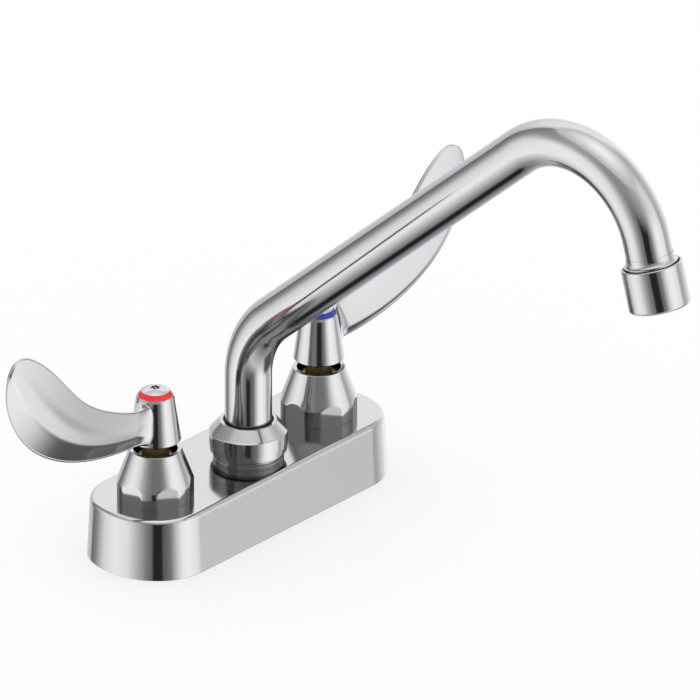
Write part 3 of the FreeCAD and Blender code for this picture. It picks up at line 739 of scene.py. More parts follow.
def base_outline(sizes):
    """Points round the foot of the base, and the directions that its walls face there."""
    nose_x = HALF_LENGTH - sizes.nose_radius
    corner_y = HALF_WIDTH - sizes.corner_radius
    reach = sizes.nose_radius - sizes.corner_radius
    corner_x = nose_x + math.sqrt(reach ** 2 - corner_y ** 2)
    turn = math.atan2(corner_y, corner_x - nose_x)
    quarter = math.pi / 2
    outline = []
    for centre, radius, start, end, steps in (
            ((corner_x, corner_y), sizes.corner_radius, quarter, turn, CORNER_STEPS),
            ((nose_x, 0), sizes.nose_radius, turn, -turn, NOSE_STEPS),
            ((corner_x, -corner_y), sizes.corner_radius, -turn, -quarter, CORNER_STEPS)):
        outline += [(centre, radius, start + (end - start) * step / steps)
                    for step in range(steps)]
    outline.append(((corner_x, -corner_y), sizes.corner_radius, -quarter))
    places = []
    facing = []
    for flip in (1, -1):
        for centre, radius, spin in outline:
            out = np.array([math.cos(spin), math.sin(spin)])
            places.append(flip * (np.array(centre) + radius * out))
            facing.append(flip * out)
        last = places[-1].copy()
        for shift in (WIDE_SUPPORT, 2 * corner_x - WIDE_SUPPORT):
            places.append(last + np.array([-flip * shift, 0]))
            facing.append(facing[-1])
    return np.array(places), np.array(facing)


def stepped(start, *steps):
    """The outline of a stepped cylinder, upwards from a height by (radius, top) steps."""
    outline = [(0, start)]
    for radius, top in steps:
        outline += [(radius, outline[-1][1]), (radius, top)]
    return outline + [(0, outline[-1][1])]


def waterway_rib(sizes, top):
    """The block of metal round the cross bore."""
    passage = sizes.waterway_radius + sizes.waterway_wall
    low = sizes.waterway_height - passage
    rib = bmesh.new()
    bmesh.ops.create_cube(rib, size=1)
    bmesh.ops.transform(rib, verts=rib.verts, matrix=(
        Matrix.Translation((0, SPOUT_Y, (low + top) / 2))
        @ Matrix.Diagonal((2 * VALVE_X, 2 * passage, top - low, 1))))
    mesh = bpy.data.meshes.new("waterway_rib")
    rib.to_mesh(mesh)
    rib.free()
    return linked("waterway_rib", mesh)


def build_base(sizes):
    """The cast base: drafted walls with a rounded top edge, hollow below, with its wells."""
    places, facing = base_outline(sizes)
    lean = math.tan(sizes.draft)
    ceiling = BASE_TOP - sizes.roof
    rows = []
    for inset, z in rounded([
            (ROOF_EDGE, BASE_TOP, 0), (lean * BASE_TOP, BASE_TOP, sizes.top_round),
            (0, 0, sizes.foot_round), (sizes.wall, 0, sizes.foot_round),
            (sizes.wall + lean * ceiling, ceiling, sizes.top_round / 2),
            (ROOF_EDGE + sizes.wall, ceiling, 0)]):
        ring = places - facing * inset
        rows.append(np.column_stack([ring, np.full(len(ring), z)]))
    skin = Skin()
    skin.add_grid(rows)
    skin.add_cap(rows[0])
    skin.add_cap(rows[-1])
    casting = finished("base_skin", skin)

    roof_middle = BASE_TOP - sizes.roof / 2
    well_boss = turned_skin(stepped(
        sizes.boss_bottom, (sizes.boss_radius, roof_middle), (sizes.collar_radius, CASTING_TOP)),
        HIDDEN_STEPS)
    well_bore = turned_skin(stepped(
        -OVERCUT, (sizes.socket_radius, sizes.well_floor - sizes.inlet_web),
        (sizes.inlet_radius, sizes.well_floor), (sizes.well_radius, CASTING_TOP + OVERCUT)),
        HIDDEN_STEPS)
    spout_boss = turned_skin(stepped(sizes.boss_bottom, (sizes.spout_boss_radius, roof_middle)),
                             HIDDEN_STEPS)
    spout_bore = turned_skin(stepped(
        sizes.waterway_height, (sizes.spout_drop_radius, BASE_TOP - sizes.spout_bore_depth),
        (sizes.spout_bore_radius, BASE_TOP + OVERCUT)), HIDDEN_STEPS)
    waterway = turned_skin(stepped(-VALVE_X, (sizes.waterway_radius, VALVE_X)), WATERWAY_STEPS)
    lying = Matrix.Translation((0, SPOUT_Y, sizes.waterway_height)) @ Matrix.Rotation(
        math.pi / 2, 4, "Y")
    wells = [Matrix.Translation((x, 0, 0)) for x in (-VALVE_X, VALVE_X)]
    bosses = [finished("well_boss", well_boss, place) for place in wells]
    bosses += [finished("spout_boss", spout_boss, spout_place()), waterway_rib(sizes, roof_middle)]
    bores = [finished("well_bore", well_bore, place) for place in wells]
    bores += [finished("spout_bore", spout_bore, spout_place()),
              finished("waterway_bore", waterway, lying)]
    return combined("base_casting", casting, bosses, bores)


def combined(name, casting, bosses, bores):
    """Fuses the bosses to the casting and cuts the bores, as one plain mesh."""
    for operation, tools in (("UNION", bosses), ("DIFFERENCE", bores)):
        for tool in tools:
            step = casting.modifiers.new(operation.lower(), "BOOLEAN")
            step.operation = operation
            step.solver = "EXACT"
            step.object = tool
    seen = bpy.context.evaluated_depsgraph_get()
    mesh = bpy.data.meshes.new_from_object(casting.evaluated_get(seen))
    mesh.name = name
    for tool in [casting] + bosses + bores:
        old = tool.data
        bpy.data.objects.remove(tool)
        bpy.data.meshes.remove(old)
    smoothed(mesh)
    return linked(name, mesh)


def soft_minimum(first, second, blend):
    """The lesser of two values, with a smooth turn where they cross."""
    near = np.maximum(blend - np.abs(first - second), 0) / blend
    return np.minimum(first, second) - near ** 2 * blend / 4


# The bonnet's rows over the flats' arches, how far they reach past an arch, and the shortest run
# of its outline that is the cone
ARCH_STEP = 0.12 * MM
PAST_ARCH = 0.8 * MM
CONE_RUN = 5 * MM
# Points across half a flat, and those that follow the blend at its edge, in degrees beside it
FLAT_POINTS = 31
EDGE_POINTS = np.linspace(-1.4, 1.4, 9)
# Digits of an angle that tell it from another
TURN_DIGITS = 6


def build_bonnet(sizes):
    """The bonnet about its axis: a turned shape whose radius the flats cut back."""
    wall_top = BASE_TOP + sizes.wall_height
    shoulder = BASE_TOP + sizes.shoulder_height
    thread_top = BASE_TOP + sizes.thread_height
    slope = (sizes.wall_radius - sizes.top_radius) / (BONNET_TOP - wall_top)
    arch_top = wall_top + (sizes.wall_radius - sizes.flat_distance) / slope
    outline = rounded([
        (sizes.wall_radius, BASE_TOP, sizes.rim_round / 2),
        (sizes.wall_radius, wall_top, sizes.wall_round),
        (sizes.top_radius, BONNET_TOP, sizes.rim_round),
        (sizes.mouth_radius, BONNET_TOP, sizes.rim_round),
        (sizes.mouth_radius, BONNET_TOP - sizes.mouth_depth, 0),
        (sizes.shoulder_radius, shoulder, 0), (sizes.cavity_radius, shoulder, 0),
        (sizes.cavity_radius, thread_top, 0),
        (sizes.thread_radius, thread_top, 0), (sizes.thread_radius, BASE_TOP, 0)])
    points = []
    for index, point in enumerate(outline):
        points.append(tuple(point))
        after = outline[(index + 1) % len(outline)]
        if point.y > wall_top and after.y - point.y > CONE_RUN:
            points += [(sizes.wall_radius - slope * (z - wall_top), z)
                       for z in np.arange(point.y + ARCH_STEP, arch_top + PAST_ARCH, ARCH_STEP)]
    sector = 2 * math.pi / sizes.flat_count
    edge = math.acos(sizes.flat_distance / sizes.wall_radius)
    half = np.concatenate([np.linspace(0, sector / 2, FLAT_POINTS), edge + np.radians(EDGE_POINTS)])
    other_half = -half[half < sector / 2 - 10 ** -TURN_DIGITS]
    one_sector = np.unique(np.round(np.concatenate([half, other_half]), TURN_DIGITS))
    turns = np.concatenate([one_sector + side * sector for side in range(sizes.flat_count)])
    flat_reach = sizes.flat_distance / np.cos(np.tile(one_sector, sizes.flat_count))
    skin = Skin()
    skin.add_grid([ring_of(soft_minimum(np.full(len(turns), radius), flat_reach, sizes.edge_blend),
                           turns, z) for radius, z in points], close_rows=True)
    return skin


def natural_curve(knots, values):
    """A smooth curve through values at knots, as a function of the parameter."""
    knots = np.asarray(knots, float)
    values = np.asarray(values, float)
    last = len(knots) - 1
    gaps = np.diff(knots)
    system = np.zeros((last + 1, last + 1))
    system[0, 0] = system[last, last] = 1
    target = np.zeros_like(values)
    for index in range(1, last):
        system[index, index - 1] = gaps[index - 1]
        system[index, index] = 2 * (gaps[index - 1] + gaps[index])
        system[index, index + 1] = gaps[index]
        target[index] = 6 * ((values[index + 1] - values[index]) / gaps[index]
                             - (values[index] - values[index - 1]) / gaps[index - 1])
    bends = np.linalg.solve(system, target)

    def at(parameter):
        parameter = np.atleast_1d(parameter).astype(float)
        index = np.clip(np.searchsorted(knots, parameter) - 1, 0, last - 1)
        gap = gaps[index]
        after = (parameter - knots[index]) / gap
        before = 1 - after
        if values.ndim > 1:
            gap, after, before = gap[:, None], after[:, None], before[:, None]
        return (before * values[index] + after * values[index + 1]
                + ((before ** 3 - before) * bends[index]
                   + (after ** 3 - after) * bends[index + 1]) * gap ** 2 / 6)
    return at


def blade_edges():
    """The blade's lower and upper edges by share of their lengths, in metres over the base's top.
    Both lie on one smooth outline that goes round the tip."""
    points = np.array(BLADE_LOWER + BLADE_UPPER[-2::-1]) * MM
    steps = np.linalg.norm(np.diff(points, axis=0), axis=1)
    knots = np.concatenate([[0], np.cumsum(steps)]) / steps.sum()
    outline = natural_curve(knots, points)
    tip = knots[len(BLADE_LOWER) - 1]

    def lower(shares):
        return outline(shares * tip)

    def upper(shares):
        return outline(1 - shares * (1 - tip))
    return lower, upper


def eased(value):
    """A smooth rise from 0 to 1."""
    value = np.clip(value, 0, 1)
    return value * value * (3 - 2 * value)


def climb(value, start, rise):
    """Height of a line whose slope grows from 0 at the start to 1 after the rise."""
    past = np.maximum(value - start, 0)
    return np.where(past < rise, past ** 2 / (2 * rise), past - rise / 2)


# How late the flat face closes in on the folded one towards the upper edge
LEAN_POWER = 1.5


def blade_rows(sizes, shares):
    """Sections of the blade at shares of its length. Each runs over the upper edge to the folded
    face, down it, under the lower edge and up the flat face."""
    lower, upper = (edge(shares) for edge in blade_edges())
    knots, thickness = zip(*BLADE_THICKNESS)
    thickness = natural_curve(knots, thickness)(shares) * MM
    knots, ridge = zip(*BLADE_RIDGE)
    ridge = natural_curve(knots, ridge)(shares)
    inset = np.linalg.norm(upper - lower, axis=1) ** 2 / (8 * sizes.tip_radius)
    past = np.clip(1 - inset / sizes.upper_round, 0, 1)
    thin = np.sqrt(1 - past ** 2)
    arc = np.linspace(-1, 1, EDGE_STEPS, endpoint=False) * math.pi / 2
    along = np.linspace(0, 1, SIDE_STEPS, endpoint=False)
    fading = sizes.step_height * eased((1 - shares) / sizes.step_fade)
    bevel = np.tan(sizes.bevel_slope - sizes.bevel_turn * shares)
    rows = []
    for low, high, thick, crest, swell, shrink, slope in zip(lower, upper, thickness, ridge,
                                                             fading, thin, bevel):
        height = np.linalg.norm(high - low)
        upward = (high - low) / max(height, MERGE)
        upper_in, thumb_in, palm_in = (
            limit * height / (height + 2 * limit)
            for limit in (sizes.upper_round, sizes.thumb_round, sizes.palm_round))
        reach = crest * height
        unit = reach / sizes.fold_reach

        def folded(level):
            """The folded face over the middle plane, at heights over the lower edge."""
            below = reach - level
            step = swell * eased((below / sizes.step_reach + 1) / 2)
            fall = math.tan(sizes.band_slope) * climb(below / unit, 0, sizes.band_rise)
            fall += (math.tan(sizes.low_slope) - math.tan(sizes.band_slope)) * climb(
                below / unit, sizes.low_start, sizes.low_rise)
            return thick / 2 + step - unit * fall

        top_face, low_face = folded(height - upper_in), folded(thumb_in)
        run = max(sizes.bevel_share * (low_face + thick / 2), MERGE) / slope
        rise = min(sizes.bevel_rise, run)

        def leaning(level):
            """The flat face, which closes in on the folded one towards the upper edge and has a
            bevel along the lower one."""
            lean = max(thick - sizes.upper_thickness, 0) * (level / height) ** LEAN_POWER
            return lean + slope * climb(run + rise / 2 - level, 0, rise) - thick / 2

        top_back, low_back = leaning(height - upper_in), leaning(palm_in)
        top_edge = (top_face + top_back) / 2
        low_edge = low_face - min(sizes.rim_place, (low_face - low_back) / 2)
        over = np.where(arc < 0, top_back - top_edge, top_face - top_edge)
        under = np.where(arc < 0, low_face - low_edge, low_back - low_edge)
        low_in = np.where(arc < 0, thumb_in, palm_in)
        level = np.concatenate([
            height - upper_in * (1 - np.cos(arc)),
            height - upper_in + (thumb_in - height + upper_in) * along,
            low_in * (1 - np.cos(arc)),
            palm_in + (height - upper_in - palm_in) * along])
        across = np.concatenate([
            top_edge + over * np.abs(np.sin(arc)),
            folded(height - upper_in + (thumb_in - height + upper_in) * along),
            low_edge + under * np.abs(np.sin(arc)),
            leaning(palm_in + (height - upper_in - palm_in) * along)])
        middle = (np.max(across) + np.min(across)) / 2
        across = middle + (across - middle) * shrink
        rows.append(np.column_stack([low[0] + upward[0] * level, across,
                                     BASE_TOP + low[1] + upward[1] * level]))
    return np.array(rows)


# How the rows crowd towards the root and the tip, and the step that tells a surface's direction
ROOT_CROWDING = 0.8
TIP_CROWDING = 1.6
NUDGE = 1e-3


def build_handle(sizes):
    """The handle about its axis, with the blade along +X."""
    bottom = BONNET_TOP + sizes.hub_gap
    skirt = bottom + sizes.skirt_height
    shoulder = bottom + sizes.shoulder_height
    top = bottom + sizes.hub_height
    edge_columns = np.linspace(-1, 1, EDGE_STEPS, endpoint=False)
    side_columns = np.linspace(-1, 1, SIDE_STEPS, endpoint=False)
    around = np.concatenate([edge_columns, side_columns + 2, edge_columns + 4,
                             side_columns + 6]) * math.pi / 4
    turn_share = np.concatenate([edge_columns, np.ones(SIDE_STEPS), -edge_columns,
                                 -np.ones(SIDE_STEPS)])
    height_share = np.concatenate([np.ones(EDGE_STEPS), -side_columns, -np.ones(EDGE_STEPS),
                                   side_columns])

    def on_hub(turns, heights):
        """Points on the hub's cone at shares of a half turn and of the half height."""
        level = (heights + 1) / 2
        radius = sizes.skirt_radius + (sizes.shoulder_radius - sizes.skirt_radius) * level
        return ring_of(radius, turns * math.pi, skirt + (shoulder - skirt) * level)

    def squared(wave):
        return np.sign(wave) * np.abs(wave) ** sizes.root_corner

    def direction(vectors):
        return vectors / np.linalg.norm(vectors, axis=1)[:, None]

    root_turn = sizes.root_angle / math.pi * squared(np.sin(around))
    root_height = (1 - 2 * sizes.root_margin) * squared(np.cos(around))
    skin = Skin()
    skin.add_grid([on_hub(turn_share + (root_turn - turn_share) * level,
                          height_share + (root_height - height_share) * level)
                   for level in np.linspace(0, 1, HUB_ROWS) ** ROOT_CROWDING])

    # From the root to the blade: a cubic that leaves the hub's face and meets the blade's run
    root = on_hub(root_turn, root_height)
    inward = direction(on_hub(root_turn * (1 - NUDGE), root_height * (1 - NUDGE)) - root)
    first, second = blade_rows(sizes, np.array([sizes.root_share, sizes.root_share + NUDGE]))
    onward = direction(second - first)
    sideways = np.sin(around)[:, None] ** 2
    pull = sizes.edge_pull + (sizes.side_pull - sizes.edge_pull) * sideways
    span = np.linalg.norm(first - root, axis=1)[:, None]
    skin.add_grid([(2 * level ** 3 - 3 * level ** 2 + 1) * root
                   + (level ** 3 - 2 * level ** 2 + level) * pull * inward
                   + (3 * level ** 2 - 2 * level ** 3) * first
                   + (level ** 3 - level ** 2) * span * onward
                   for level in np.linspace(0, 1, ROOT_ROWS)])
    along = 1 - (1 - np.linspace(0, 1, BLADE_ROWS)) ** TIP_CROWDING
    skin.add_grid(blade_rows(sizes, sizes.root_share + (1 - sizes.root_share) * along))

    # The rims and bores share the columns of the hub's upper and lower edges
    turns = np.linspace(-math.pi, math.pi, EDGE_STEPS + 1)
    seat_floor = top - sizes.seat_depth
    socket_top = bottom + sizes.socket_height
    recess_top = bottom + sizes.recess_depth
    outline = rounded([
        (sizes.shoulder_radius, shoulder, 0), (sizes.lip_radius, top, LIP_ROUND),
        (sizes.seat_radius, top, 0), (sizes.seat_radius, seat_floor, 0),
        (sizes.screw_hole_radius, seat_floor, 0), (sizes.screw_hole_radius, socket_top, 0),
        (sizes.socket_radius, socket_top, 0), (sizes.socket_radius, recess_top, 0),
        (sizes.recess_radius, recess_top, 0), (sizes.recess_radius, bottom, SMALL_ROUND),
        (sizes.bottom_radius, bottom, SOFT_ROUND), (sizes.skirt_radius, skirt, 0)])
    skin.add_grid([ring_of(radius, turns, z) for radius, z in outline], close_columns=False)
    return skin


def hub_top():
    """The height of the handles' upper rims."""
    handle = faucet().handle
    return BONNET_TOP + handle.hub_gap + handle.hub_height


def build_index_ring(sizes):
    top = hub_top()
    return turned_skin(rounded([
        (sizes.bore_radius, top - sizes.seat_depth, 0),
        (sizes.seat_radius, top - sizes.seat_depth, 0), (sizes.seat_radius, top, sizes.edge_round),
        (sizes.top_radius, top + sizes.rise, sizes.edge_round),
        (sizes.bore_radius, top + sizes.rise, sizes.edge_round)]), SMALL_STEPS)


# Fine shape of the screw: its pin's top and bevel, the recess's waist between the lobes and its
# broken edge, the levels of the dome's rows, and the chamfer of its tip
PIN_TOP, PIN_EDGE, PIN_FACE = 0.25 * MM, 0.33 * MM, 0.8
WAIST_DEPTH, WAIST_BLEND = 0.28 * MM, 0.15 * MM
WALL_DROP, BREAK_WIDTH, BREAK_DROP, RIM_WIDTH = 0.1 * MM, 0.04 * MM, 0.03 * MM, 0.12 * MM
DOME_LEVELS = np.linspace(0.08, 1, 14)
TIP_CHAMFER = 0.6 * MM


def build_screw(sizes):
    """A domed screw with a lobed drive recess round a pin."""
    seat_z = hub_top() + sizes.rise
    top = seat_z + sizes.head_rise
    ball = (sizes.head_radius ** 2 + sizes.head_rise ** 2) / (2 * sizes.head_rise)
    turns = full_turn(SCREW_STEPS)
    lobe = turns % (2 * math.pi / sizes.lobe_count) - math.pi / sizes.lobe_count
    aside = sizes.lobe_offset * np.sin(lobe)
    reach = sizes.lobe_offset * np.cos(lobe) + np.sqrt(
        np.maximum(sizes.lobe_radius ** 2 - aside ** 2, 0))
    reach = np.where(np.abs(aside) < sizes.lobe_radius, reach, 0)
    waist = np.full(SCREW_STEPS, sizes.lobe_offset - WAIST_DEPTH)
    recess = -soft_minimum(-reach, -waist, WAIST_BLEND)

    def dome(radius):
        return top - ball + np.sqrt(ball ** 2 - radius ** 2)

    floor = top - sizes.recess_depth
    rim = recess + RIM_WIDTH
    tip = seat_z - sizes.shank_length
    rows = [(0, top - PIN_TOP), (sizes.pin_radius * PIN_FACE, top - PIN_TOP),
            (sizes.pin_radius, top - PIN_EDGE), (sizes.pin_radius, floor), (recess, floor),
            (recess, dome(recess) - WALL_DROP),
            (recess + BREAK_WIDTH, dome(recess + BREAK_WIDTH) - BREAK_DROP), (rim, dome(rim))]
    for level in DOME_LEVELS:
        radius = rim + (sizes.head_radius - rim) * level
        rows.append((radius, dome(radius)))
    rows += [(sizes.head_radius, seat_z), (sizes.shank_radius, seat_z),
             (sizes.shank_radius, tip + TIP_CHAMFER), (sizes.shank_radius - TIP_CHAMFER, tip),
             (0, tip)]
    skin = Skin()
    skin.add_grid([ring_of(radius, turns, z) for radius, z in rows])
    return skin


def build_nipple(sizes):
    """The spout's threaded hub with its grooved flange, at the root radius of its thread."""
    low, high = BASE_TOP - sizes.nipple_depth, BASE_TOP + sizes.nipple_height
    groove_low, groove_high = BASE_TOP + sizes.groove_low, BASE_TOP + sizes.groove_high
    flange_top = BASE_TOP + sizes.nipple_flange
    groove = sizes.nipple_radius - sizes.groove_depth
    core = sizes.nipple_thread - faucet().thread.depth
    return turned_skin(rounded([
        (sizes.nipple_bore, low, 0), (sizes.nipple_spigot, low, 0),
        (sizes.nipple_spigot, BASE_TOP, 0), (sizes.nipple_radius, BASE_TOP, FINE_ROUND),
        (sizes.nipple_radius, groove_low, FINE_ROUND), (groove, groove_low, 0),
        (groove, groove_high, 0), (sizes.nipple_radius, groove_high, THIN_ROUND),
        (sizes.nipple_radius, flange_top, THIN_ROUND), (core, flange_top, 0), (core, high, 0),
        (sizes.nipple_bore, high, 0)]))


def build_nut(sizes):
    """The coupling nut: foot cone, smooth band and upper cone, hollow over the nipple."""
    corners = [
        (sizes.nut_foot_radius, sizes.nut_bottom, FINE_ROUND),
        (sizes.nut_radius - sizes.nut_step, sizes.nut_band, 0),
        (sizes.nut_radius, sizes.nut_band, FAINT_ROUND),
        (sizes.nut_radius, sizes.nut_wall_top, sizes.edge_round),
        (sizes.nut_cone_radius, sizes.nut_cone_low, SMALL_ROUND),
        (sizes.nut_top_radius, sizes.nut_top, sizes.edge_round),
        (sizes.nut_mouth, sizes.nut_top, FINE_ROUND), (sizes.nut_mouth, sizes.nut_shoulder, 0),
        (sizes.nut_cavity, sizes.nut_shoulder, 0), (sizes.nut_cavity, sizes.nut_cavity_low, 0),
        (sizes.nut_thread, sizes.nut_cavity_low, 0), (sizes.nut_thread, sizes.nut_bottom, 0)]
    return turned_skin(rounded([(radius, BASE_TOP + z, turn) for radius, z, turn in corners]))


def spout_line(sizes, outlet):
    """Points along the middle of the tube: straight runs joined by two bends."""
    flow = flow_direction()
    rim = outlet_rim()
    start = Vector((0, SPOUT_Y, BASE_TOP + sizes.tube_start))
    heel = Vector((0, SPOUT_Y, BASE_TOP + sizes.heel_rise))
    crook = rim - flow * sizes.outlet_run
    end = rim + flow * outlet.socket_depth
    points = [start]
    for before, corner, after, radius in ((start, heel, crook, sizes.heel_radius),
                                          (heel, crook, rim, sizes.crook_radius)):
        back = (before - corner).normalized()
        ahead = (after - corner).normalized()
        half = back.angle(ahead) / 2
        setback = radius / math.tan(half)
        middle = corner + (back + ahead).normalized() * (radius / math.sin(half))
        arm = corner + back * setback - middle
        spin = math.pi - 2 * half
        axis = arm.cross(corner + ahead * setback - middle)
        steps = math.ceil(spin / BEND_STEP)
        points.append(corner + back * (setback + BEND_SUPPORT))
        for step in range(steps + 1):
            points.append(middle + Matrix.Rotation(spin * step / steps, 3, axis) @ arm)
        points.append(corner + ahead * (setback + BEND_SUPPORT))
    points.append(end)
    return points


def build_tube(sizes, outlet):
    """The bent spout tube with its bore."""
    points = spout_line(sizes, outlet)
    across = Vector((1, 0, 0))
    turns = full_turn(SMALL_STEPS)
    outer = []
    inner = []
    bore_radius = sizes.tube_radius - sizes.tube_wall
    for index, point in enumerate(points):
        before = points[max(index - 1, 0)]
        after = points[min(index + 1, len(points) - 1)]
        if 0 < index < len(points) - 1:
            ahead = (after - point).normalized() + (point - before).normalized()
        else:
            ahead = after - before
        up = across.cross(ahead.normalized())
        for rows, radius in ((outer, sizes.tube_radius), (inner, bore_radius)):
            rows.append([point + radius * (math.cos(turn) * across + math.sin(turn) * up)
                         for turn in turns])
    skin = Skin()
    skin.add_grid(outer + inner[::-1], close_rows=True)
    return skin


# Room between the tube and the spud's bore, and how fast the bell over the bead opens
TUBE_ROOM = 0.03 * MM
BELL_POWER = 0.75


def build_spud(sizes):
    """The threaded end: a bell that flares from the tube to a bead over the aerator."""
    tube = faucet().spout
    tube_bore = tube.tube_radius - tube.tube_wall
    bore = tube.tube_radius + TUBE_ROOM
    start = -sizes.bead_lip - sizes.flare_length
    core = sizes.thread_radius - faucet().thread.depth
    bead_low = sizes.bead_height - sizes.bead_lip
    outline = []
    for step in range(FLARE_ROWS + 1):
        turn = step / FLARE_ROWS * math.pi / 2
        swell = 1 - math.cos(turn)
        outline.append((
            bore + sizes.flare_edge + (sizes.bead_radius - bore - sizes.flare_edge) * swell,
            start + sizes.flare_length * math.sin(turn) ** BELL_POWER))
    outline += [(sizes.bead_radius, bead_low), (core, bead_low + SOFT_ROUND),
                (core, sizes.spud_length), (tube_bore, sizes.spud_length),
                (tube_bore, sizes.socket_depth), (bore, sizes.socket_depth), (bore, start)]
    return turned_skin(outline, SMALL_STEPS)


def build_housing(sizes):
    """The aerator's polished housing."""
    lip_top = sizes.housing_length - sizes.lip_thickness
    return turned_skin(rounded([
        (sizes.rim_bore, 0, FINE_ROUND), (sizes.housing_radius, 0, sizes.rim_round),
        (sizes.housing_radius, sizes.housing_length, sizes.foot_round),
        (sizes.lip_radius, sizes.housing_length, SOFT_ROUND), (sizes.lip_radius, lip_top, 0),
        (sizes.barrel_radius, lip_top, 0), (sizes.barrel_radius, sizes.thread_depth, 0),
        (sizes.inner_thread, sizes.thread_depth, 0), (sizes.inner_thread, sizes.rim_depth, 0),
        (sizes.rim_bore, sizes.rim_depth, 0)]))


def fixing_start(sizes):
    """The height where the shank's fixing thread ends under the lock nut."""
    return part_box("cold_lock_nut")[0].z - sizes.fixing_run


def build_shank(sizes):
    """The core of an inlet shank, at the root radius of its threads."""
    depth = faucet().thread.depth
    low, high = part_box("cold_inlet_shank")
    fixing_low = fixing_start(sizes)
    fixing, supply = sizes.fixing_radius - depth, sizes.supply_radius - depth
    chamfer = sizes.tip_chamfer - depth
    return turned_skin(rounded([
        (sizes.bore, low.z, 0), (supply - chamfer, low.z, 0), (supply, low.z + chamfer, 0),
        (supply, fixing_low, 0), (fixing, fixing_low, 0), (fixing, sizes.top, 0),
        (sizes.spigot_radius, sizes.top, 0), (sizes.spigot_radius, high.z, 0),
        (sizes.bore, high.z, 0)]), SMALL_STEPS)


# Geometry node trees
def finish_tree(tree, geometry, material, leave):
    """Ends a geometry group with real geometry in one material."""
    real = put(tree, "GeometryNodeRealizeInstances", {"Geometry": geometry})
    dressed = put(tree, "GeometryNodeSetMaterial", {"Geometry": real, "Material": material})
    feed(tree, leave, {"Mesh": dressed})
    return tree


def vector_of(tree, x=0.0, y=0.0, z=0.0):
    return put(tree, "ShaderNodeCombineXYZ", {"X": x, "Y": y, "Z": z}).outputs[0]


def thread_tree():
    """A helical ridge round Z, and as many copies of it along X as are asked for."""
    name = "thread ridges"
    if name in bpy.data.node_groups:
        return bpy.data.node_groups[name]
    measures = ("Crest radius", "Depth", "Pitch", "Length", "Root width", "Crest width", "Sink",
                "Spacing")
    tree, entry, leave = new_tree(name, "GeometryNodeTree", {
        **dict.fromkeys(measures, "Float"), "Steps": "Int", "Copies": "Int",
        "Material": "Material"}, {"Mesh": "Geometry"})
    run = calc(tree, "SUBTRACT", entry["Length"], entry["Root width"])
    core = calc(tree, "SUBTRACT", entry["Crest radius"], entry["Depth"])
    helix = put(tree, "GeometryNodeCurveSpiral", {
        "Resolution": entry["Steps"], "Rotations": calc(tree, "DIVIDE", run, entry["Pitch"]),
        "Start Radius": core, "End Radius": core, "Height": run})
    level = put(tree, "GeometryNodeSetCurveNormal", {"Curve": helix}, mode="Z_UP")
    half = calc(tree, "MULTIPLY", entry["Root width"], 0.5)
    rise = vector_of(tree, z=half)
    raised = put(tree, "GeometryNodeTransform", {"Geometry": level, "Translation": rise})
    height = calc(tree, "ADD", entry["Depth"], entry["Sink"])
    ridge = put(tree, "GeometryNodeCurvePrimitiveQuadrilateral", {
        "Bottom Width": entry["Root width"], "Top Width": entry["Crest width"],
        "Height": height, "Offset": 0.0}, mode="TRAPEZOID")
    inward = calc(tree, "SUBTRACT", entry["Sink"], calc(tree, "MULTIPLY", height, 0.5))
    profile = put(tree, "GeometryNodeTransform", {
        "Geometry": ridge, "Translation": vector_of(tree, x=inward),
        "Rotation": (0.0, 0.0, math.pi / 2)})
    swept = put(tree, "GeometryNodeCurveToMesh", {
        "Curve": raised, "Profile Curve": profile, "Fill Caps": True})
    first = calc(tree, "MULTIPLY", calc(tree, "SUBTRACT", entry["Copies"], 1.0),
                 calc(tree, "MULTIPLY", entry["Spacing"], -0.5))
    places = put(tree, "GeometryNodeMeshLine", {
        "Count": entry["Copies"], "Start Location": vector_of(tree, x=first),
        "Offset": vector_of(tree, x=entry["Spacing"])})
    copies = put(tree, "GeometryNodeInstanceOnPoints", {"Points": places, "Instance": swept})
    return finish_tree(tree, copies, entry["Material"], leave)


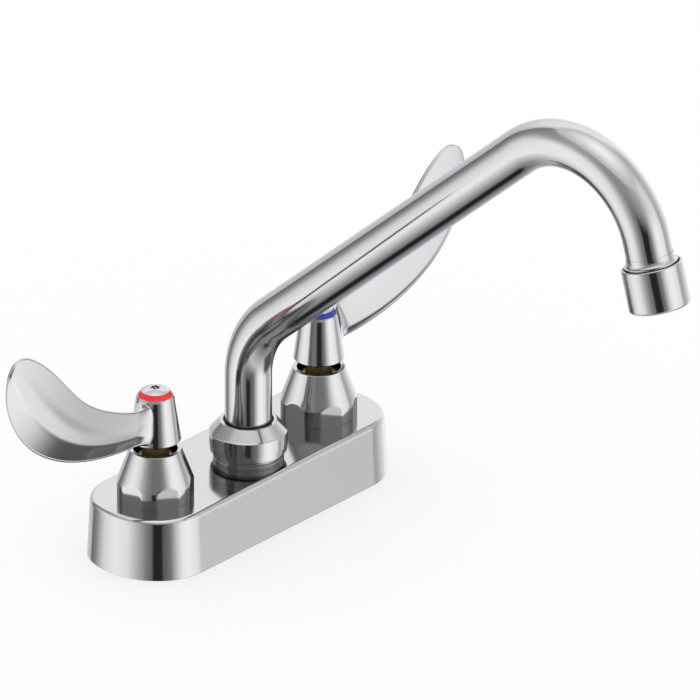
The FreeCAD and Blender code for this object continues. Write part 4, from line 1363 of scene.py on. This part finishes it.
def screen_tree():
    """Two crossing layers of waved wires, cut to a disc."""
    name = "woven screen"
    if name in bpy.data.node_groups:
        return bpy.data.node_groups[name]
    tree, entry, leave = new_tree(name, "GeometryNodeTree", {
        **dict.fromkeys(("Reach", "Pitch", "Wire radius", "Wave"), "Float"), "Steps": "Int",
        "Material": "Material"}, {"Mesh": "Geometry"})
    back = calc(tree, "MULTIPLY", entry["Reach"], -1.0)
    wire = put(tree, "GeometryNodeCurvePrimitiveLine", {
        "Start": vector_of(tree, x=back), "End": vector_of(tree, x=entry["Reach"])})
    fine = put(tree, "GeometryNodeResampleCurve", {"Curve": wire, "Count": entry["Steps"]})
    rows = calc(tree, "FLOOR", calc(tree, "DIVIDE", entry["Reach"], entry["Pitch"]))
    places = put(tree, "GeometryNodeMeshLine", {
        "Count": calc(tree, "MULTIPLY_ADD", rows, 2.0, 1.0),
        "Start Location": vector_of(tree, y=calc(
            tree, "MULTIPLY", rows, calc(tree, "MULTIPLY", entry["Pitch"], -1.0))),
        "Offset": vector_of(tree, y=entry["Pitch"])})
    copies = put(tree, "GeometryNodeInstanceOnPoints", {"Points": places, "Instance": fine})
    real = put(tree, "GeometryNodeRealizeInstances", {"Geometry": copies})
    where = put(tree, "GeometryNodeInputPosition").outputs[0]
    part = put(tree, "ShaderNodeSeparateXYZ", {0: where}).outputs
    row = calc(tree, "ROUND", calc(tree, "DIVIDE", part["Y"], entry["Pitch"]))
    phase = calc(tree, "MULTIPLY", calc(tree, "ADD", row, calc(
        tree, "DIVIDE", part["X"], entry["Pitch"])), math.pi)
    lift = calc(tree, "MULTIPLY", calc(tree, "COSINE", phase), entry["Wave"])
    waved = put(tree, "GeometryNodeSetPosition", {
        "Geometry": real, "Offset": vector_of(tree, z=lift)})
    distance = vector_calc(tree, "LENGTH", vector_calc(tree, "MULTIPLY", where, FLAT))
    outside = calc(tree, "GREATER_THAN", distance, entry["Reach"])
    cut = put(tree, "GeometryNodeDeleteGeometry", {
        "Geometry": waved, "Selection": outside}, domain="POINT")
    crossed = put(tree, "GeometryNodeTransform", {
        "Geometry": cut, "Rotation": (0.0, 0.0, math.pi / 2), "Scale": (1.0, 1.0, -1.0)})
    both = put(tree, "GeometryNodeJoinGeometry", {0: cut})
    feed(tree, both, {0: crossed})
    circle = put(tree, "GeometryNodeCurvePrimitiveCircle", {
        "Resolution": WIRE_SIDES, "Radius": entry["Wire radius"]})
    swept = put(tree, "GeometryNodeCurveToMesh", {
        "Curve": both, "Profile Curve": circle, "Fill Caps": True})
    return finish_tree(tree, swept, entry["Material"], leave)


def grown(name, tree, place, **inputs):
    """Runs a geometry group with the given inputs and keeps the result as a plain mesh."""
    empty = bpy.data.meshes.new(name)
    made = linked(name, empty)
    build = made.modifiers.new("build", "NODES")
    build.node_group = tree
    for item in tree.interface.items_tree:
        if item.in_out == "INPUT":
            build[item.identifier] = inputs[item.name.lower().replace(" ", "_")]
    seen = bpy.context.evaluated_depsgraph_get()
    mesh = bpy.data.meshes.new_from_object(made.evaluated_get(seen))
    made.modifiers.remove(build)
    made.data = mesh
    bpy.data.meshes.remove(empty)
    if len(mesh.polygons) == 0:
        raise RuntimeError(name + " came out empty")
    built = bmesh.new()
    built.from_mesh(mesh)
    bmesh.ops.recalc_face_normals(built, faces=built.faces)
    built.to_mesh(mesh)
    built.free()
    mesh.transform(place)
    smoothed(mesh)
    return made


def grow_thread(name, body, slot_name, crest, run, place, copies=1):
    """Grows the ridges of a thread over a core and seats them."""
    sizes = faucet().thread
    made = grown(name, thread_tree(), place, crest_radius=crest, depth=sizes.depth,
                 pitch=sizes.pitch, length=run, root_width=sizes.pitch * sizes.root_share,
                 crest_width=sizes.pitch * sizes.crest_share, sink=sizes.sink, steps=sizes.steps,
                 copies=copies, spacing=2 * VALVE_X, material=finish(slot_name))
    seat(made, body, slot_name)


class FAUCET_OT_base(Operator):
    """Build the polished casting of the base"""

    bl_idname = "faucet.base"
    bl_label = "Base"

    def execute(self, context):
        seat(build_base(faucet().base), "deck", "chrome", "deck_body")
        return {"FINISHED"}


class FAUCET_OT_bonnets(Operator):
    """Build both conical bonnets"""

    bl_idname = "faucet.bonnets"
    bl_label = "Bonnets"

    def execute(self, context):
        seat_pair("_bonnet_skin", build_bonnet(faucet().bonnet), "_bonnet", "deck",
                  sharp=BONNET_SHARP)
        return {"FINISHED"}


class FAUCET_OT_handles(Operator):
    """Build both wrist-blade handles"""

    bl_idname = "faucet.handles"
    bl_label = "Handles"

    def execute(self, context):
        seat_pair("_wrist_blade", build_handle(faucet().handle), "_handle")
        return {"FINISHED"}


class FAUCET_OT_index_rings(Operator):
    """Build the red and blue index rings"""

    bl_idname = "faucet.index_rings"
    bl_label = "Index rings"

    def execute(self, context):
        seat_pair("_index", build_index_ring(faucet().index), "_index_ring",
                  slots=("index_red", "index_blue"))
        return {"FINISHED"}


class FAUCET_OT_screws(Operator):
    """Build the domed handle screws"""

    bl_idname = "faucet.screws"
    bl_label = "Handle screws"

    def execute(self, context):
        seat_pair("_screw", build_screw(faucet().index), "_handle_screw")
        return {"FINISHED"}


class FAUCET_OT_spout(Operator):
    """Build the bent tube, its nipple and its coupling nut"""

    bl_idname = "faucet.spout"
    bl_label = "Spout"

    def execute(self, context):
        sizes = faucet().spout
        tube = finished("spout_tube_skin", build_tube(sizes, faucet().outlet))
        seat(tube, "spout", "chrome", "spout_tube")
        nipple = finished("nipple_skin", build_nipple(sizes), spout_place(), LATHE_SHARP)
        seat(nipple, "deck", "chrome", "spout_nipple")
        nut = finished("coupling_nut", build_nut(sizes), spout_place(), LATHE_SHARP)
        seat(nut, "deck", "chrome", "spout_nut")
        return {"FINISHED"}


class FAUCET_OT_outlet(Operator):
    """Build the spud and the aerator's housing"""

    bl_idname = "faucet.outlet"
    bl_label = "Outlet"

    def execute(self, context):
        sizes = faucet().outlet
        spud = finished("spud_skin", build_spud(sizes), outlet_place(), LATHE_SHARP)
        seat(spud, "spout", "chrome", "outlet_spud")
        housing = finished("aerator_skin", build_housing(sizes), outlet_place(), LATHE_SHARP)
        seat(housing, "spout", "chrome", "aerator_housing")
        return {"FINISHED"}


class FAUCET_OT_shanks(Operator):
    """Build both inlet shanks under the deck"""

    bl_idname = "faucet.shanks"
    bl_label = "Inlet shanks"

    def execute(self, context):
        seat_pair("_shank_core", build_shank(faucet().shank), "_inlet_shank", "deck",
                  ("raw_brass", "raw_brass"), LATHE_SHARP)
        return {"FINISHED"}


class FAUCET_OT_threads(Operator):
    """Grow the thread ridges of the shanks, the nipple and the spud"""

    bl_idname = "faucet.threads"
    bl_label = "Threads"

    def execute(self, context):
        shank, spout, outlet = faucet().shank, faucet().spout, faucet().outlet
        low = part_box("cold_inlet_shank")[0].z + shank.tip_chamfer
        fixing_low = fixing_start(shank)
        spud_low = outlet.rim_depth + outlet.bead_height

        def raised(height):
            return Matrix.Translation((0, 0, height))

        grow_thread("fixing_threads", "deck", "raw_brass", shank.fixing_radius,
                    shank.top - fixing_low, raised(fixing_low), len(SIDES))
        grow_thread("supply_threads", "deck", "raw_brass", shank.supply_radius,
                    fixing_low - low, raised(low), len(SIDES))
        grow_thread("nipple_thread", "deck", "chrome", spout.nipple_thread,
                    spout.nipple_height - spout.nipple_flange,
                    spout_place() @ raised(BASE_TOP + spout.nipple_flange))
        grow_thread("spud_thread", "spout", "chrome", outlet.thread_radius,
                    outlet.spud_length - spud_low, outlet_place() @ raised(spud_low))
        return {"FINISHED"}


class FAUCET_OT_screen(Operator):
    """Weave the aerator's screen"""

    bl_idname = "faucet.screen"
    bl_label = "Aerator screen"

    def execute(self, context):
        sizes = faucet().screen
        low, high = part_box("aerator_screen")
        place = outlet_place()
        place.translation = box_middle("aerator_screen")
        made = grown("woven_screen", screen_tree(), place, reach=(high.x - low.x) / 2 - sizes.rim,
                     pitch=sizes.pitch, wire_radius=sizes.wire_radius, wave=sizes.wave,
                     steps=sizes.steps, material=finish("steel_mesh"))
        seat(made, "spout", "steel_mesh", "aerator_screen")
        return {"FINISHED"}


class FAUCET_OT_finishes(Operator):
    """Give every remaining piece its finish"""

    bl_idname = "faucet.finishes"
    bl_label = "Finishes"

    def execute(self, context):
        slots = {part["node"]: part["material_slot"] for part in frame["record"]["subparts"]}
        for name, node in frame["nodes"].items():
            if not node.hide_render:
                node.data.materials.clear()
                node.data.materials.append(finish(slots[name]))
        return {"FINISHED"}


# Where the camera aims
AIM = Vector((0.0499, -0.0171, 0.0586))
# How far the camera sees, nearer and farther than the faucet, as a factor
CLIP_FACTOR = 100
WHITE = (1, 1, 1, 1)

# The studio's soft tones round the faucet, first its walls at the faucet's height and then its
# upper walls, by azimuth in degrees: 0 is towards the camera, and it grows to the camera's right
WALL_TONES = [(-180, 0.8), (-160, 0.66), (-137, 0.55), (-133, 0.12), (-116, 0.28), (-98, 0.73),
              (-76, 0.93), (-55, 0.82), (-38, 0.45), (-22, 0.21), (-9, 0.13), (16, 0.12), (27, 0.2),
              (40, 0.6), (52, 0.91), (66, 0.98), (80, 0.88), (91, 0.82), (95, 0.71), (97, 0.65),
              (99, 0.55), (101, 0.44), (104, 0.39), (111, 0.43), (126, 0.62), (147, 0.9),
              (157, 1.0), (170, 0.86), (180, 0.8)]
UPPER_TONES = [(-180, 0.86), (-152, 0.83), (-136, 0.63), (-130, 0.2), (-105, 0.28), (-70, 0.38),
               (-38, 0.28), (-8, 0.28), (30, 0.4), (60, 0.66), (82, 0.75), (112, 0.46), (138, 0.45),
               (157, 0.85), (180, 0.86)]
# Tones of the floor and the ceiling by elevation in degrees
FLOOR_TONES = [(-90, 0.016), (-81, 0.016), (-76, 0.2), (-66, 0.32), (-50, 0.6), (90, 0.6)]
CEILING_TONES = [(-90, 0.6), (55, 0.58), (66, 0.75), (84, 1.0), (90, 1.0)]
# Where one tone gives way to another, in degrees from the fade's start to its end
FLOOR_FADE = (-33, -52)
UPPER_FADE = (5, 35)
CEILING_FADE = (45, 51)
# The lavender that tints the studio behind the faucet, and the darker one low down there
LAVENDER = (0.95, 0.95, 1.0, 1.0)
BEHIND = (125, 150)
LOW_LAVENDER = (0.78, 0.78, 0.8, 1.0)
LOW_SIDES, LOW_HEIGHTS = [(146, 156)], [(-27, -32)]
# The dark patch of floor at the right, and the black card on the camera's side, whose right edge
# slants
SHADE = (0.09, 0.09, 0.09, 1)
SHADE_SIDES, SHADE_HEIGHTS = [(74, 92), (166, 150)], [(-66, -56), (-32, -39)]
CARD = (0.016, 0.016, 0.017, 1)
CARD_SIDES, CARD_HEIGHTS = [(-10.5, -9.5)], [(-32, -28), (18, 6)]
CARD_SLANT, CARD_RIGHT, CARD_EDGE = 0.3, 16.0, (-0.5, 0.5)


def tone_ramp(tree, where, span, tones):
    """Tones along a direction angle, which spans plus and minus half the span."""
    ramp = put(tree, "ShaderNodeValToRGB", {
        "Fac": calc(tree, "MULTIPLY_ADD", where, 1 / span, 0.5)})
    stops = ramp.color_ramp.elements
    while len(stops) < len(tones):
        stops.new(1.0)
    for stop, (turn, tone) in zip(stops, tones):
        stop.position = turn / span + 0.5
        stop.color = (tone, tone, tone, 1)
    return ramp.outputs["Color"]


def crossing(tree, value, start, end):
    """Rises smoothly from 0 at the start to 1 at the end."""
    return put(tree, "ShaderNodeMapRange", {"Value": value, "From Min": start, "From Max": end},
               interpolation_type="SMOOTHSTEP").outputs["Result"]


def patch(tree, azimuth, elevation, sides, heights):
    """A part of the studio inside the fades at its sides and at its heights."""
    fades = [crossing(tree, azimuth, *fade) for fade in sides]
    fades += [crossing(tree, elevation, *fade) for fade in heights]
    while len(fades) > 1:
        fades.append(calc(tree, "MULTIPLY", fades.pop(0), fades.pop(0)))
    return fades[0]


def studio_light(tree):
    """The studio's brightness by direction: soft walls, floor and ceiling, with a tint behind the
    faucet, a dark patch of floor and a black card."""
    spin = faucet().studio.azimuth
    way = put(tree, "ShaderNodeTexCoord").outputs["Generated"]
    ahead = vector_calc(tree, "DOT_PRODUCT", way, (math.sin(spin), -math.cos(spin), 0.0))
    beside = vector_calc(tree, "DOT_PRODUCT", way, (math.cos(spin), math.sin(spin), 0.0))
    azimuth = calc(tree, "DEGREES", calc(tree, "ARCTAN2", beside, ahead))
    either_side = calc(tree, "ABSOLUTE", azimuth)
    up = put(tree, "ShaderNodeSeparateXYZ", {0: way}).outputs["Z"]
    elevation = calc(tree, "DEGREES", calc(tree, "ARCSINE", up))

    light = mixed(tree, crossing(tree, elevation, *FLOOR_FADE),
                  tone_ramp(tree, azimuth, 360, WALL_TONES),
                  tone_ramp(tree, elevation, 180, FLOOR_TONES))
    light = mixed(tree, crossing(tree, either_side, *BEHIND), light, LAVENDER, "MULTIPLY")
    light = mixed(tree, patch(tree, either_side, elevation, LOW_SIDES, LOW_HEIGHTS), light,
                  LOW_LAVENDER, "MULTIPLY")
    light = mixed(tree, patch(tree, azimuth, elevation, SHADE_SIDES, SHADE_HEIGHTS), light, SHADE)
    card_right = calc(tree, "MULTIPLY_ADD", elevation, CARD_SLANT, CARD_RIGHT)
    card_edge = crossing(tree, calc(tree, "SUBTRACT", card_right, azimuth), *CARD_EDGE)
    card = calc(tree, "MULTIPLY", card_edge,
                patch(tree, azimuth, elevation, CARD_SIDES, CARD_HEIGHTS))
    light = mixed(tree, card, light, CARD)
    light = mixed(tree, crossing(tree, elevation, *UPPER_FADE), light,
                  tone_ramp(tree, azimuth, 360, UPPER_TONES))
    return mixed(tree, crossing(tree, elevation, *CEILING_FADE), light,
                 tone_ramp(tree, elevation, 180, CEILING_TONES))


class FAUCET_OT_stage(Operator):
    """Set the pale floor, the studio light and the camera"""

    bl_idname = "faucet.stage"
    bl_label = "Stage"

    def execute(self, context):
        settings = faucet().studio
        self.set_world(context)
        self.set_floor(settings)
        self.set_camera(context, settings)
        context.scene.view_settings.view_transform = "Standard"
        return {"FINISHED"}

    def set_world(self, context):
        """Metal mirrors the studio's walls and cards, and everything else sees plain white."""
        world = bpy.data.worlds.new("studio")
        world.use_nodes = True
        context.scene.world = world
        tree = world.node_tree
        tree.nodes.clear()
        path = put(tree, "ShaderNodeLightPath").outputs
        repeats = calc(tree, "MAXIMUM", calc(tree, "SUBTRACT", path["Glossy Depth"], 1.0), 0.0)
        dimming = calc(tree, "POWER", faucet().studio.echo, repeats)
        light = put(tree, "ShaderNodeVectorMath", {0: studio_light(tree), "Scale": dimming},
                    operation="SCALE").outputs[0]
        background = put(tree, "ShaderNodeBackground", {
            "Color": mixed(tree, path["Is Glossy Ray"], WHITE, light), "Strength": 1.0})
        put(tree, "ShaderNodeOutputWorld", {"Surface": background})

    def set_floor(self, settings):
        """The deck that the faucet stands on: white, with the faucet's shadow. It isn't mirrored,
        and it can't be seen from below."""
        reach = settings.floor_reach
        mesh = bpy.data.meshes.new("floor")
        corners = [(-reach, -reach, 0), (reach, -reach, 0), (reach, reach, 0), (-reach, reach, 0)]
        mesh.from_pydata(corners, [], [(0, 1, 2, 3)])
        floor = linked("floor", mesh)
        material = bpy.data.materials.new("floor")
        material.use_nodes = True
        tree = material.node_tree
        tree.nodes.clear()
        lit = put(tree, "ShaderNodeBsdfDiffuse", {"Color": WHITE})
        glow = put(tree, "ShaderNodeEmission", {"Color": WHITE, "Strength": 1.0})
        clear = put(tree, "ShaderNodeBsdfTransparent")
        path = put(tree, "ShaderNodeLightPath").outputs
        seen = calc(tree, "MULTIPLY", path["Is Camera Ray"], settings.floor_glow)
        white = put(tree, "ShaderNodeMixShader", {0: seen, 1: lit, 2: glow})
        back = put(tree, "ShaderNodeNewGeometry").outputs["Backfacing"]
        hidden = calc(tree, "MAXIMUM", path["Is Glossy Ray"], back)
        deck = put(tree, "ShaderNodeMixShader", {0: hidden, 1: white, 2: clear})
        put(tree, "ShaderNodeOutputMaterial", {"Surface": deck})
        mesh.materials.append(material)

    def set_camera(self, context, settings):
        """A long lens at the product picture's angle."""
        data = bpy.data.cameras.new("camera")
        data.lens = settings.lens
        data.sensor_width = settings.sensor
        camera = linked("camera", data)
        distance = settings.field * settings.lens / settings.sensor
        spin = settings.azimuth
        rise = settings.elevation
        back = Vector((math.sin(spin) * math.cos(rise), -math.cos(spin) * math.cos(rise),
                       math.sin(rise)))
        camera.location = AIM + back * distance
        camera.rotation_mode = "QUATERNION"
        camera.rotation_quaternion = (-back).to_track_quat("-Z", "Y")
        data.clip_start = distance / CLIP_FACTOR
        data.clip_end = distance * CLIP_FACTOR
        context.scene.camera = camera


class FAUCET_PT_panel(Panel):
    """Lists the faucet's pieces"""

    bl_idname = "FAUCET_PT_panel"
    bl_label = "Deck faucet"
    bl_space_type = "VIEW_3D"
    bl_region_type = "UI"
    bl_category = "Faucet"

    def draw(self, context):
        for operator in OPERATORS:
            self.layout.operator(operator.bl_idname)


GROUPS = (BaseSizes, BonnetSizes, HandleSizes, IndexSizes, SpoutSizes, OutletSizes, ShankSizes,
          ThreadSizes, ScreenSizes, FinishColours, StudioSizes, FaucetSettings)
OPERATORS = (FAUCET_OT_stage, FAUCET_OT_base, FAUCET_OT_bonnets, FAUCET_OT_handles,
             FAUCET_OT_index_rings, FAUCET_OT_screws, FAUCET_OT_spout, FAUCET_OT_outlet,
             FAUCET_OT_shanks, FAUCET_OT_threads, FAUCET_OT_screen, FAUCET_OT_finishes)


def register():
    for kind in GROUPS + OPERATORS + (FAUCET_PT_panel,):
        bpy.utils.register_class(kind)
    bpy.types.Scene.faucet = PointerProperty(type=FaucetSettings)


def unregister():
    del bpy.types.Scene.faucet
    for kind in reversed(GROUPS + OPERATORS + (FAUCET_PT_panel,)):
        bpy.utils.unregister_class(kind)


def main():
    register()
    bpy.ops.faucet.stage()
    bpy.ops.faucet.base()
    bpy.ops.faucet.bonnets()
    bpy.ops.faucet.handles()
    bpy.ops.faucet.index_rings()
    bpy.ops.faucet.screws()
    bpy.ops.faucet.spout()
    bpy.ops.faucet.outlet()
    bpy.ops.faucet.shanks()
    bpy.ops.faucet.threads()
    bpy.ops.faucet.screen()
    bpy.ops.faucet.finishes()


if __name__ == "__main__":
    main()
